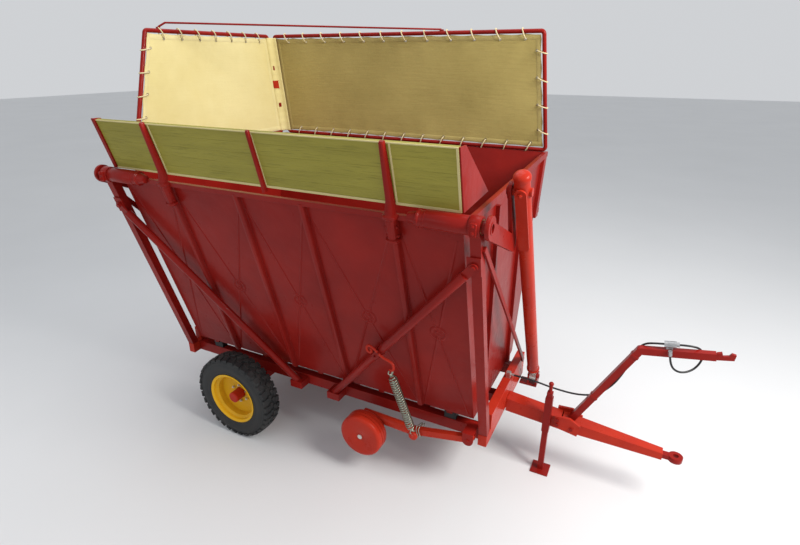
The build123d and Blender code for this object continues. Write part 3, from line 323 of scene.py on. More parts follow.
def tube(name, points, radius, mat, resolution=10, sides=5):
    """A round bar or cord, as one smooth spline along its control points."""
    cu = bpy.data.curves.new(name, "CURVE")
    cu.dimensions = "3D"
    cu.bevel_depth = radius
    cu.bevel_resolution = sides
    cu.resolution_u = resolution
    cu.use_fill_caps = True
    sp = cu.splines.new("NURBS")
    sp.points.add(len(points) - 1)
    for p, c in zip(sp.points, points):
        p.co = (*c, 1.0)
    sp.order_u = 3
    sp.use_endpoint_u = True
    obj = bpy.data.objects.new(name, cu)
    bpy.context.scene.collection.objects.link(obj)
    cu.materials.append(mat)
    return obj


def dress(names, mat, bevel=0.0):
    """A better material, and soft edges if asked, on CAD nodes whose shape is right."""
    for name in names:
        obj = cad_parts[name]
        for slot in obj.material_slots:
            slot.material = mat
        if bevel:
            bevelled(obj, bevel)


class Shape:
    """Gathers vertices and faces of one piece."""

    def __init__(self):
        self.verts = []
        self.faces = []

    def add(self, verts, faces):
        n = len(self.verts)
        self.verts.extend(Vector(v) for v in verts)
        self.faces.extend(tuple(i + n for i in f) for f in faces)

    def loft(self, rings, wrap=True, caps=True, close=False):
        """Skins a list of rings that have the same number of points."""
        count = len(rings[0])
        verts = [p for ring in rings for p in ring]
        faces = []
        last = len(rings) if close else len(rings) - 1
        for a in range(last):
            b = (a + 1) % len(rings)
            for i in range(count if wrap else count - 1):
                k = (i + 1) % count
                faces.append((a * count + i, a * count + k, b * count + k, b * count + i))
        if caps and wrap and not close:
            faces.append(tuple(range(count))[::-1])
            faces.append(tuple(range((len(rings) - 1) * count, len(rings) * count)))
        self.add(verts, faces)

    def ring(self, centre, u, v, radius, sides=16, start=0.0):
        return [centre + (u * math.cos(a) + v * math.sin(a)) * radius
                for a in (start + 2 * math.pi * i / sides for i in range(sides))]

    def lathe(self, centre, axis, profile, sides=64, caps=True):
        """profile: (distance along the axis, radius)."""
        axis = axis.normalized()
        u = axis.orthogonal().normalized()
        v = axis.cross(u)
        self.loft([self.ring(centre + axis * d, u, v, r, sides) for d, r in profile], caps=caps)

    def slab(self, centre, u, v, w, size, chamfer):
        """A block with unit directions u, v, w, and its edges along w cut off."""
        a, b, c = (s / 2 for s in size)
        k = min(chamfer, a * 0.9, b * 0.9)
        flat = [(a - k, b), (a, b - k), (a, -b + k), (a - k, -b),
                (-a + k, -b), (-a, -b + k), (-a, b - k), (-a + k, b)]
        rings = [[centre + u * x + v * y + w * z for x, y in flat] for z in (-c, c)]
        self.loft(rings)

    def bead(self, a, b, radius, up, seed=0.0):
        """A weld bead: a low bar of overlapping ripples from a to b."""
        run = b - a
        length = run.length
        along = run / length
        side = along.cross(up).normalized()
        count = max(6, int(length / (radius * 0.55)))
        rings = []
        for i in range(count + 1):
            t = i / count
            ripple = 1.0 + 0.22 * math.sin(i * 2.4 + seed) + 0.10 * math.sin(i * 0.7 + seed * 3)
            taper = min(1.0, 6 * t + 0.2, 6 * (1 - t) + 0.2)
            rings.append(self.ring(a + run * t, side, up.normalized(), radius * ripple * taper, 8))
        self.loft(rings)

    def hex_bolt(self, spot, out, size, height):
        """A washer, a hexagon head with a turned top, on a face whose normal is out."""
        out = out.normalized()
        u = out.orthogonal().normalized()
        v = out.cross(u)
        self.loft([self.ring(spot + out * d, u, v, r, 20)
                   for d, r in ((0, size * 1.25), (size * 0.16, size * 1.25), (size * 0.22, size * 1.1))])
        self.loft([self.ring(spot + out * d, u, v, r, 6, 0.3)
                   for d, r in ((size * 0.2, size), (height * 0.85, size), (height, size * 0.82))])
        self.loft([self.ring(spot + out * d, u, v, r, 12)
                   for d, r in ((height * 0.9, size * 0.5), (height * 1.22, size * 0.5),
                                (height * 1.3, size * 0.4))])

    def make(self, name, mat, body, slot, replaces=(), bevel=0.0, angle=35):
        """Makes the piece, and gives it its body and the nodes it replaces. The slot is not used."""
        obj = mesh_piece(name, self.verts, self.faces, mat)
        if bevel:
            bevelled(obj, bevel, angle)
        else:
            obj.data.set_sharp_from_angle(angle=math.radians(angle))
        return finish_piece(obj, body, slot, *replaces)


# ------------------------------------------------------------------------------
# The load box
# ------------------------------------------------------------------------------
X = Vector((1, 0, 0))
Y = Vector((0, 1, 0))
Z = Vector((0, 0, 1))
LEAN = math.radians(15.5)          # the side sheets, from upright
RIB_HALF = 0.030
RIB_DEPTH = 0.0435
BOARDS_IN_FLAP = 5
FRAME_TUBE = 0.021                 # radius of the tubes round the canvases
TIE_PITCH = 0.27
SPRING_TAIL = at(1.215, -0.870, 0.601)
far_lo, far_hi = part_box("far_wall")
NEAR_OUT = Vector((0, -math.cos(LEAN), -math.sin(LEAN)))
FAR_OUT = Vector((0, math.cos(LEAN), -math.sin(LEAN)))
NEAR_UP = Vector((0, -math.sin(LEAN), math.cos(LEAN)))
FAR_UP = Vector((0, math.sin(LEAN), math.cos(LEAN)))
RIBS = [MID.x + 0.045 + d for d in (-1.165, -0.345, 0.345, 1.165)]


def on_near(x, z, out=0.0):
    """A point on the near side sheet's outer face, or out of it."""
    y = wall_lo.y + (wall_hi.z - z) * math.tan(LEAN)
    return Vector((x, y, z)) + NEAR_OUT * out


def on_far(x, z, out=0.0):
    y = far_hi.y - (far_hi.z - z) * math.tan(LEAN)
    return Vector((x, y, z)) + FAR_OUT * out


def crease(shape, a, b, out, width, height):
    """A pressed crease: a low smooth ridge from a to b."""
    side = (b - a).cross(out).normalized()
    rings = []
    for t in (0.0, 0.04, 0.25, 0.5, 0.75, 0.96, 1.0):
        swell = math.sin(math.pi * min(max(t, 0.02), 0.98)) ** 0.35
        ring = []
        for k in range(9):
            u = -1 + k / 4
            rise = height * swell * (0.5 + 0.5 * math.cos(math.pi * u)) - 0.0004
            ring.append(a + (b - a) * t + side * (u * width) + out * rise)
        rings.append(ring)
    shape.loft(rings, wrap=False, caps=False)


def pressings():
    """Crossed creases with a round dimple in every bay of both side sheets."""
    for name, lo, hi, place, out, up in (
            ("near_pressings", wall_lo, wall_hi, on_near, NEAR_OUT, NEAR_UP),
            ("far_pressings", far_lo, far_hi, on_far, FAR_OUT, FAR_UP)):
        shape = Shape()
        edges = [lo.x] + RIBS + [hi.x]
        for left, right in zip(edges, edges[1:]):
            a = left + 0.045
            b = right - 0.045
            z0 = lo.z + 0.05
            z1 = hi.z - 0.16
            crease(shape, place(a, z0), place(b, z1), out, 0.014, 0.0085)
            crease(shape, place(a, z1), place(b, z0), out, 0.014, 0.0085)
            centre = place((a + b) / 2, (z0 + z1) / 2)
            for radius, height in ((0.066, 0.009), (0.020, 0.010)):
                rings = []
                for grow, h in ((0.016, -0.0004), (0.007, height * 0.7), (0.0, height),
                                (-0.007, height * 0.7), (-0.015, -0.0004)):
                    rings.append(shape.ring(centre + out * h, X, up, max(radius + grow, 0.001), 28))
                shape.loft(rings, caps=False)
        shape.make(name, RED, "box", "red_paint", angle=60)


def ribs():
    """Folded ribs with a rolled nose on both side sheets."""
    rolled = [(RIB_HALF * 0.25, RIB_DEPTH), (RIB_HALF * 0.66, RIB_DEPTH * 0.93),
              (RIB_HALF - 0.002, RIB_DEPTH * 0.62), (RIB_HALF, 0.006), (RIB_HALF + 0.004, -0.0005)]
    section = [(-u, d) for u, d in rolled[::-1]] + rolled
    for name, lo, place, top, node_name in (
            ("near_rib_skins", wall_lo, on_near, wall_hi.z - 0.022, "near_ribs"),
            ("far_rib_skins", far_lo, on_far, far_hi.z - 0.060, "far_ribs")):
        shape = Shape()
        for x in RIBS:
            rings = [[place(x + u, z, d * swell) for u, d in section]
                     for z, swell in ((lo.z + 0.002, 0.75), (lo.z + 0.030, 1.0),
                                      (top - 0.030, 1.0), (top, 1.0))]
            shape.loft(rings)
        shape.make(name, RED, "box", "red_paint", (node_name,), angle=28)


def flap_arms():
    """Two long arms with clamped, flared feet over the outer ribs, and a short one between."""
    rail = wall_hi.z
    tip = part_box("flap_arms")[1].z
    foot = rail - 0.215
    # Each level is a height, with its half width and its depth as shares of the arm's own.
    long_levels = [(foot, 1.55, 1.60), (foot + 0.014, 1.95, 1.95), (foot + 0.030, 1.95, 1.95),
                   (foot + 0.036, 1.35, 1.75), (rail - 0.020, 1.55, 1.75), (rail - 0.012, 2.0, 1.95),
                   (rail + 0.010, 2.0, 1.95), (rail + 0.018, 1.45, 1.65), (rail + 0.070, 1.25, 1.25),
                   (rail + 0.110, 1.02, 1.02), (tip - 0.085, 0.74, 0.86), (tip - 0.012, 0.68, 0.80),
                   (tip - 0.001, 0.56, 0.62)]
    short_levels = [(rail + 0.040, 0.98, 1.35), (rail + 0.066, 1.0, 1.2), (tip - 0.012, 0.9, 0.9),
                    (tip - 0.001, 0.7, 0.7)]
    arms = Shape()
    for x, half, deep, seat, levels in ((RIBS[0], 0.030, 0.050, 0.030, long_levels),
                                        (RIBS[3], 0.030, 0.050, 0.030, long_levels),
                                        ((RIBS[1] + RIBS[2]) / 2, 0.019, 0.030, 0.0, short_levels)):
        rings = []
        for z, grow, out in levels:
            a = half * grow
            b = deep * out
            inner = 0.0015 if z > rail + 0.06 else seat
            rings.append([on_near(x + u, z, d) for u, d in (
                (-a, inner), (-a, b * 0.62), (-a * 0.78, b * 0.88), (-a * 0.36, b), (a * 0.36, b),
                (a * 0.78, b * 0.88), (a, b * 0.62), (a, inner))])
        arms.loft(rings)
        if levels is long_levels:
            for dz in (0.055, 0.130):
                for side in (-1, 1):
                    arms.hex_bolt(on_near(x + side * half * 1.30, foot + dz, 0.055), X * side, 0.011, 0.013)
    arms.make("arm_skins", RED, "box", "red_paint", ("flap_arms",), angle=28)


def flap():
    """Five sawn boards with their unpainted lower and end edges, and a cream strip along the upper edge that
    is a painted highlight.
    """
    lo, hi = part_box("flap_boards")
    top = hi.z
    pitch = (top - lo.z) / BOARDS_IN_FLAP
    inset = 0.0305
    cols = 28
    boards = Shape()
    rng = random.Random(3)
    for k in range(BOARDS_IN_FLAP):
        z0 = lo.z + k * pitch
        rings = []
        for i in range(cols + 1):
            x = lo.x + (hi.x - lo.x) * i / cols
            low = z0 + (0.0001 + rng.random() * 0.0002 if k else 0.0006)
            high = z0 + pitch - (0.0001 + rng.random() * 0.0002)
            face = -0.0010 + 0.0008 * math.sin(i * 1.3 + k * 2.1)
            rings.append([on_near(x, low, face), on_near(x, high, face),
                          on_near(x, high, -inset), on_near(x, low, -inset)])
        boards.loft(rings)
    boards.make("boards", BOARDS, "box", "olive_board", ("flap_boards",), bevel=0.0007, angle=40)
    edges = Shape()
    # The lower strip is the unpainted edge. The upper one is a painted highlight where light falls on the top
    # edge of the boards.
    for z, h in ((lo.z + 0.010, 0.020), (top - 0.004, 0.009)):
        middle = on_near((lo.x + hi.x) / 2, z, 0.0008)
        edges.slab(middle, X, NEAR_UP, NEAR_OUT, (hi.x - lo.x - 0.004, h, 0.006), 0.002)
    arms_x = (RIBS[0] + 0.046, RIBS[3] + 0.046, (RIBS[1] + RIBS[2]) / 2 + 0.022, hi.x - 0.010)
    for x, width in zip(arms_x, (0.013, 0.013, 0.008, 0.016)):
        middle = on_near(x, (lo.z + top) / 2, 0.0012)
        edges.slab(middle, X, NEAR_UP, NEAR_OUT, (width, (top - lo.z) * 1.03, 0.006), 0.002)
    edges.make("board_edges_and_painted_highlight", CREAM_EDGE_AND_HIGHLIGHT, "box", "canvas", angle=40)


def panel(name, corners, replaced, laced, width, height, cloth_mat, hem_mat):
    """One cloth in its tube loop: bulged, scalloped between its ties, with a doubled hem.

    The sides come in the order lower, upper, first end, second end.
    """
    a, b, c, d = corners
    normal = (b - a).cross(d - a).normalized()
    nu, nv = 150, 56
    up = (d - a).normalized()
    across = (b - a).normalized()
    inward = (up, -up, across, -across)

    def point(u, v):
        p = (a * (1 - u) + b * u) * (1 - v) + (d * (1 - u) + c * u) * v
        depths = (v * height, (1 - v) * height, u * width, (1 - u) * width)
        along = (u * width, u * width, v * height, v * height)
        move = Vector()
        lift = 0.020 * math.sin(math.pi * u) ** 0.8 * math.sin(math.pi * v) ** 0.8
        for k, depth in enumerate(depths):
            if laced[k]:
                phase = along[k] / TIE_PITCH * math.pi
                move += inward[k] * (0.009 * abs(math.sin(phase)) * math.exp(-depth / 0.05))
                lift += 0.0028 * math.cos(2 * phase) * math.exp(-depth / 0.12)
        lift += 0.004 * math.sin(u * 9.1 + 2.3 * v) * math.sin(v * 5.3 + 1.1 * u) * math.sin(math.pi * u)
        return p + move - normal * lift

    grid = [[point(i / nu, j / nv) for i in range(nu + 1)] for j in range(nv + 1)]
    verts = [p for row in grid for p in row]
    faces = [(j * (nu + 1) + i, j * (nu + 1) + i + 1, (j + 1) * (nu + 1) + i + 1, (j + 1) * (nu + 1) + i)
             for j in range(nv) for i in range(nu)]
    cloth = mesh_piece(name + "_cloth", verts, faces, cloth_mat)
    thicken(cloth, 0.004, 0.0)
    finish_piece(cloth, "box", "canvas", replaced)
    hem = Shape()
    band = 0.055
    for out in (1, -1):
        for k in range(4):
            rings = []
            steps = nu if k < 2 else nv
            for i in range(steps + 1):
                t = i / steps
                ring = []
                for depth in (0.002, 0.006, band - 0.004, band):
                    w = depth / (height if k < 2 else width)
                    uv = ((t, w), (t, 1 - w), (w, t), (1 - w, t))[k]
                    rise = 0.0026 if depth in (0.002, band) else 0.0042
                    ring.append(point(*uv) + normal * (out * rise))
                rings.append(ring)
            hem.loft(rings, wrap=False, caps=False)
    hem_piece = hem.make(name + "_hem", hem_mat, "box", "canvas", angle=60)


def lacing(name, start, end, inward, normal, count):
    """Rope ties round the tube and through eyelets in the hem."""
    along = (end - start).normalized()
    steps = 18
    ropes = Shape()
    rings = Shape()
    for i in range(count):
        t = (i + 0.5) / count
        centre = start.lerp(end, t) + inward * 0.020
        tilt = 0.020 if i % 2 else 0.026
        loop = []
        for k in range(steps):
            angle = 2 * math.pi * k / steps
            loop.append(centre + inward * (0.050 * math.cos(angle)) + normal * (0.029 * math.sin(angle))
                        + along * (tilt * math.cos(angle)))
        sections = []
        for k in range(steps):
            run = (loop[(k + 1) % steps] - loop[k - 1]).normalized()
            out = (loop[k] - centre).normalized()
            side = run.cross(out).normalized()
            sections.append(ropes.ring(loop[k], out, side, 0.0062 + 0.0006 * (k % 2), 7))
        ropes.loft(sections, caps=False, close=True)
        eye = start.lerp(end, t) + inward * 0.070 + along * tilt
        for face in (-1, 1):
            rings.loft([rings.ring(eye + normal * face * h, inward, along, r, 14)
                        for h, r in ((0.003, 0.014), (0.007, 0.0125), (0.007, 0.0085), (0.003, 0.0075))],
                       caps=False)
    ropes.make(name + "_ties", ROPE, "box", "canvas", angle=60)
    rings.make(name + "_eyelets", STEEL, "box", "bright_steel", angle=50)


def thicken(obj, thickness, offset):
    m = obj.modifiers.new("thickness", "SOLIDIFY")
    m.thickness = thickness
    m.offset = offset


def canvases():
    """Both cloths inside the centre lines of their tube loops, from the lower corners round."""
    r = FRAME_TUBE
    lo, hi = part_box("far_canvas_frame")
    far = [Vector((lo.x + r + 0.020, hi.y - r, lo.z + r)), Vector((hi.x - r, hi.y - r, lo.z + r)),
           Vector((hi.x - r - 0.110, lo.y + r, hi.z - r)), Vector((lo.x + r, lo.y + r, hi.z - r))]
    lo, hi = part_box("rear_canvas_frame")
    x = (lo.x + hi.x) / 2
    near_top = MID.y - 0.700
    far_top = hi.y - r - (far[0].y - far[3].y)
    rear = [Vector((x, lo.y + r, lo.z + r)), Vector((x, hi.y - r, lo.z + r)),
            Vector((x, far_top, hi.z - r)), Vector((x, near_top, hi.z - r))]
    for name, corners, replaced, laced, mats in (
            # The far cloth and its hem take the darker copies of the canvas: painted shade.
            ("far", far, "far_canvas", (True, True, False, True), (CANVAS_PAINTED_SHADE, HEM_PAINTED_SHADE)),
            ("rear", rear, "rear_canvas", (False, True, True, False), (CANVAS, HEM))):
        a, b, c, d = corners
        normal = (b - a).cross(d - a).normalized()
        inset = r + 0.003
        inner = []
        for i, p in enumerate(corners):
            before = (corners[i - 1] - p).normalized()
            after = (corners[(i + 1) % 4] - p).normalized()
            inner.append(p + (before + after) * inset)
        width = (inner[1] - inner[0]).length
        height = ((inner[3] - inner[0]).length + (inner[2] - inner[1]).length) / 2
        panel(name, inner, replaced, laced, width, height, *mats)
        sides = ((a, b, (d - a)), (d, c, (a - d)), (a, d, (b - a)), (b, c, (a - b)))
        for k, (p, q, way) in enumerate(sides):
            if laced[k]:
                run = (q - p).normalized()
                inward = (way - run * way.dot(run)).normalized()
                lacing(f"{name}_{k}", p + run * 0.06, q - run * 0.06, inward, normal,
                       max(3, round((q - p).length / TIE_PITCH)))
    cover(rear, far)


def cover(rear, far):
    """The cloth that closes the corner, and its clip.

    It wraps the rear frame's far upright and is turned on to the far frame.
    """
    low, high = rear[1], rear[2]
    low_far, high_far = far[0], far[3]

    def section(t, wobble, grow):
        p = low.lerp(high, t)
        q = low_far.lerp(high_far, t)
        r = 0.0245 + wobble + grow
        ring = [p + Y * (math.sin(math.radians(a)) * r) + X * (math.cos(math.radians(a)) * r)
                for a in (-150, -110, -70, -30, 10)]
        ring.append(p.lerp(q, 0.45) + Y * (0.004 - grow) + X * (0.012 + grow))
        ring.append(q + Vector((0.010, -0.0245 - wobble - grow, 0.0)))
        ring.append(q + Vector((0.045, -0.0262 - grow, 0.0)))
        return ring

    rows = 90
    shape = Shape()
    shape.loft([section(0.015 + 0.97 * i / rows, 0.0015 * math.sin(i * 0.9), 0.0) for i in range(rows + 1)],
               wrap=False, caps=False)
    obj = shape.make("corner_cover", CANVAS, "box", "canvas", angle=60)
    thicken(obj, 0.003, 1.0)
    clip = Shape()
    rings = [section(t, 0.0, 0.0045)[1:7] for t in (0.475, 0.482, 0.550, 0.557)]
    clip.loft([[p + (q - p) * (0.3 if k in (0, 3) else 0.0) for p, q in zip(ring, ring[1:])]
               for k, ring in enumerate(rings)], wrap=False, caps=False)
    thicken(clip.make("corner_clip", RED_LIT_COPY, "box", "red_paint", angle=50), 0.004, 0.0)


# ------------------------------------------------------------------------------
# Wheels, roller, spring and hoses
# ------------------------------------------------------------------------------
def tyre(side, body):
    """A bar-tread tyre: moulded carcass with rings, two rows of outer cleats and two of centre blocks."""
    lo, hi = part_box("tyre_" + side)
    centre = (lo + hi) / 2
    outer = (hi.z - lo.z) / 2
    half = (hi.y - lo.y) / 2
    bead = 0.281
    # From bead to crown: the share of half the width, and the radius.
    flank = [(0.78, bead), (0.86, bead + 0.012), (0.93, bead + 0.028), (0.97, bead + 0.050),
             (0.945, bead + 0.056), (0.99, bead + 0.075), (1.0, bead + 0.105), (0.985, bead + 0.135),
             (0.955, bead + 0.140), (0.975, bead + 0.150), (0.90, outer - 0.036), (0.72, outer - 0.021),
             (0.36, outer - 0.016)]
    inside = [(0.70, bead + 0.03), (0.0, outer - 0.05), (-0.70, bead + 0.03)]
    profile = [(-d, r) for d, r in flank] + [(0.0, outer - 0.015)] + flank[::-1] + inside
    shape = Shape()
    shape.loft([shape.ring(centre + Y * (d * half), X, Z, r, 96) for d, r in profile], caps=False, close=True)
    shape.make(f"tyre_{side}_carcass", TYRE, body, "tyre_rubber", ("tyre_" + side,), angle=50)
    # Rows: place across the width, width, length, turn and shift along the tread.
    rows = ((-0.66, 0.066, 0.060, 0.16, 0.0), (0.66, 0.066, 0.060, -0.16, 0.5),
            (-0.20, 0.040, 0.052, -0.30, 0.25), (0.22, 0.040, 0.052, 0.30, 0.75))
    top = outer - 0.0006
    depth = 0.030
    count = 34
    blocks = Shape()
    for i in range(count):
        for y, w, long, turn, shift in rows:
            a = 2 * math.pi * (i + shift) / count
            radial = X * math.cos(a) + Z * math.sin(a)
            along = (Z * math.cos(a) - X * math.sin(a)).normalized()
            across = (Y * math.cos(turn) + along * math.sin(turn)).normalized()
            length = radial.cross(across).normalized()
            mid = centre + radial * (top - depth / 2) + Y * (y * half)
            low, high = [], []
            for px, py in ((-1, -1), (1, -1), (1, 1), (-1, 1)):
                drop = 0.010 if abs(y) > 0.5 and px * y > 0 else 0.0
                corner_x = across * px * (w / 2)
                corner_y = length * py * (long / 2)
                low.append(mid + corner_x * 1.12 + corner_y * 1.10 - radial * (depth / 2 + drop))
                high.append(mid + corner_x + corner_y + radial * (depth / 2 - drop))
            blocks.loft([low, high])
    blocks.make(f"tyre_{side}_cleats", TYRE, body, "tyre_rubber", bevel=0.004, angle=30)


def spring():
    """The close-wound coil with an eye at each end, from the hook's bow to the arm's pin."""
    head = at(1.052, -1.026, 1.362)
    tail = SPRING_TAIL
    length = (tail - head).length
    axis = (tail - head) / length
    u = axis.orthogonal().normalized()
    v = axis.cross(u)
    turns = 24
    coil = 0.0385
    eye = 0.024
    eye_in = 0.022
    start, stop = 0.060, length - 0.060
    bows = [math.pi * (0.1 + 1.55 * k / 6) for k in range(7)]
    points = [head + axis * eye_in + (u * math.sin(a) - axis * math.cos(a)) * eye for a in bows]
    steps = turns * 10
    for i in range(steps + 1):
        t = i / steps
        a = 2 * math.pi * turns * t
        grow = min(1.0, 0.35 + 12 * t, 0.35 + 12 * (1 - t))
        around = (u * math.cos(a) + v * math.sin(a)) * (coil * grow)
        points.append(head + axis * (start + (stop - start) * t) + around)
    points += [tail - axis * eye_in + (u * math.sin(a) + axis * math.cos(a)) * eye for a in bows[::-1]]
    wire = tube("arm_spring_coil", points, 0.0058, ZINC, resolution=3, sides=2)
    mesh = bpy.data.meshes.new_from_object(wire)
    obj = bpy.data.objects.new("spring_coil", mesh)
    bpy.context.scene.collection.objects.link(obj)
    bpy.data.objects.remove(wire)
    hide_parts("arm_spring")
    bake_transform(obj)


def hook():
    """The bent rod clamped to the strut that the spring hangs from."""
    on = at(0.9063, -0.9590, 1.480)
    strut = 0.038
    run = (at(0.240, -0.7399, 0.690) - at(1.851, -1.2696, 2.600)).normalized()
    out = -Y
    across = run.cross(out).normalized()
    # From the curl at the left over the strut to the bow that holds the spring.
    route = [(-0.052, 0.060), (-0.040, 0.028), (-0.064, 0.008), (-0.094, 0.026), (-0.098, 0.066),
             (-0.066, 0.086), (-0.022, 0.062), (0.030, 0.018), (0.082, -0.016), (0.132, -0.026),
             (0.172, -0.048), (0.180, -0.092), (0.160, -0.124), (0.136, -0.114)]
    points = [on + X * dx + Z * dz + out * (strut + 0.018) for dx, dz in route]
    rod = tube("spring_hook_rod", points, 0.0125, RED_LIT_COPY, resolution=12, sides=4)
    finish_piece(rod, "chassis", "red_paint", "spring_hook")
    clamp = Shape()
    band = [(0, 0.0385), (0, 0.046), (0.026, 0.046), (0.026, 0.0385)]
    for d in (-0.030, 0.030):
        clamp.lathe(on + run * (d - 0.013), run, band, 32, caps=False)
    clamp.slab(on + out * 0.046, run, across, out, (0.110, 0.060, 0.012), 0.006)
    for d in (-0.036, 0.036):
        clamp.hex_bolt(on + run * d + out * 0.052, out, 0.011, 0.014)
    clamp.make("spring_hook_clamp", RED, "chassis", "red_paint", bevel=0.002)


def roller():
    """The side roller: a shallow drum with a turned rim, two grooves and a centre bolt."""
    lo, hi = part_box("side_roller")
    c = (lo + hi) / 2
    r = (hi.x - lo.x) / 2
    w = hi.y - lo.y
    drum = Shape()
    drum.lathe(Vector((c.x, lo.y, c.z)), Y, [
        (0.010, 0.016), (0.010, 0.040), (0.004, 0.052), (0.003, r * 0.62), (0.0, r - 0.052), (0.0, r - 0.030),
        (0.005, r - 0.012), (0.014, r - 0.003), (0.026, r), (w * 0.36, r), (w * 0.37, r - 0.007),
        (w * 0.40, r - 0.007), (w * 0.41, r), (w * 0.60, r), (w * 0.61, r - 0.007), (w * 0.64, r - 0.007),
        (w * 0.65, r), (w - 0.018, r), (w - 0.006, r - 0.006), (w, r - 0.018), (w, r - 0.032),
        (0.032, r - 0.034), (0.030, 0.045), (w - 0.004, 0.040), (w - 0.004, 0.016)], 96, caps=False)
    drum.make("roller_drum", RED_LIT_COPY, "roller", "red_paint", ("side_roller",), angle=40)
    bolt = Shape()
    bolt.hex_bolt(Vector((c.x, lo.y + 0.0085, c.z)), -Y, 0.020, 0.004)
    bolt.make("roller_bolt", RED, "arm", "red_paint", angle=30)


def arm_fittings():
    """The boss that holds the spring's lower eye, and two turns of wire round the arm."""
    boss = Shape()
    spot = Vector((SPRING_TAIL.x, MID.y - 0.851, 0.575))
    boss.lathe(spot, -Y, [(0.0, 0.046), (0.022, 0.046), (0.030, 0.042), (0.034, 0.034), (0.034, 0.014),
                          (0.040, 0.012), (0.044, 0.006)], 40)
    boss.make("arm_boss", RED_LIT_COPY, "arm", "red_paint", angle=35)
    steps = 28
    loops = Shape()
    for dx in (0.035, 0.060):
        mid = Vector((SPRING_TAIL.x + dx, MID.y - 0.800, 0.615))
        ring = []
        for k in range(steps):
            a = 2 * math.pi * k / steps
            squared = (abs(math.cos(a)) ** 4 + abs(math.sin(a)) ** 4) ** -0.25
            ring.append(mid + (Y * math.cos(a) + Z * math.sin(a)) * (0.0565 * squared)
                        + X * (0.010 * math.sin(a * 2)))
        sections = []
        for k in range(steps):
            way = (ring[(k + 1) % steps] - ring[k - 1]).normalized()
            out = (ring[k] - mid).normalized()
            sections.append(loops.ring(ring[k], out, way.cross(out).normalized(), 0.005, 8))
        loops.loft(sections, caps=False, close=True)
    loops.make("arm_wire", ZINC, "arm", "zinc_spring", angle=60)


def hoses():
    """Both hoses, each one smooth spline along its route."""
    route = [(1.930, 0.064, 0.920), (2.120, 0.064, 0.920), (2.330, 0.082, 0.876), (2.560, 0.086, 0.868),
             (2.740, 0.076, 0.930), (2.860, 0.070, 1.080), (2.930, 0.068, 1.240), (2.975, 0.067, 1.400),
             (3.003, 0.066, 1.520), (3.050, 0.046, 1.606), (3.124, 0.0, 1.654), (3.203, 0.0, 1.667)]
    supply = tube("supply_hose_line", [at(*p) for p in route], 0.009, HOSE)
    finish_piece(supply, "chassis", "black_rubber", "supply_hose")
    loop = [(3.319, 0.0, 1.686), (3.420, 0.0, 1.703), (3.503, 0.074, 1.644), (3.520, 0.080, 1.543),
            (3.461, 0.016, 1.460), (3.360, -0.052, 1.444), (3.277, -0.072, 1.503), (3.260, -0.072, 1.603)]
    tail = tube("hose_tail_line", [at(*p) for p in loop], 0.009, HOSE)
    finish_piece(tail, "chassis", "black_rubber", "hose_tail")


# ------------------------------------------------------------------------------
# Pivots, rams and welds
# ------------------------------------------------------------------------------
def rams():
    """A domed crown on each barrel, and the round-topped strap down its near side."""
    for body, node_name in (("ram_front_barrel", "ram_barrel_front"), ("ram_rear_barrel", "ram_barrel_rear")):
        lo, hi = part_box(node_name)
        x = (lo.x + hi.x) / 2
        foot_pin = Vector((x, MID.y + 0.560, 0.656))
        top_pin = Vector((x, MID.y - 0.8216, 3.0651))
        axis = (top_pin - foot_pin).normalized()
        side = axis.cross(X)
        if side.y > 0:
            side = -side
        top = top_pin + axis * ((hi.z - top_pin.z) / axis.z - 0.030)
        crown = Shape()
        crown.lathe(top, axis, [(-0.030, 0.064), (-0.012, 0.0655), (0.0, 0.063), (0.012, 0.055),
                                (0.020, 0.040), (0.025, 0.020), (0.026, 0.004)], 40)
        crown.make(body + "_crown", RED_LIT_COPY, body, "red_paint", angle=40)
        half = 0.044
        outline = [(half * math.cos(math.pi * k / 12), half * math.sin(math.pi * k / 12)) for k in range(13)]
        outline += [(-half, -0.560), (-0.036, -0.600), (0.036, -0.600), (half, -0.560)]
        base = top - axis * 0.120 + side * 0.060
        strap = Shape()
        strap.loft([[base + X * u + axis * v + side * d for u, v in outline] for d in (0.0, 0.016)])
        strap.hex_bolt(base + side * 0.016, side, 0.016, 0.016)
        strap.make(body + "_strap", RED_LIT_COPY, body, "red_paint", bevel=0.003, angle=40)


def pivots():
    """Clamp lugs with their bolts on the housings, and stepped collars where the sleeves end."""
    lo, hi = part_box("pivot_bushes")
    axis = (lo + hi) / 2
    lugs = Shape()
    bolts = Shape()
    for x in (hi.x - 0.042, lo.x + 0.042):
        spot = Vector((x, axis.y, axis.z))
        lugs.slab(spot + Vector((0, -0.078, -0.005)), X, Z, Y, (0.052, 0.095, 0.030), 0.008)
        for dz in (-0.026, 0.022):
            bolts.hex_bolt(spot + Vector((0, -0.093, dz)), -Y, 0.013, 0.012)
    lugs.make("clamp_lugs", RED, "chassis", "red_paint", bevel=0.004)
    bolts.make("clamp_bolts", RED, "chassis", "red_paint", angle=30)
    collars = Shape()
    for end, s in ((hi.x, -1), (lo.x, 1)):
        start = Vector((end + s * 0.402, axis.y, axis.z))
        collars.lathe(start, X * s, [(0.0, 0.0688), (0.010, 0.0688), (0.014, 0.064), (0.050, 0.060),
                                     (0.058, 0.066), (0.072, 0.066), (0.080, 0.052), (0.150, 0.036),
                                     (0.156, 0.020)], 48)
    collars.make("sleeve_collars", RED, "box", "red_paint", angle=30)


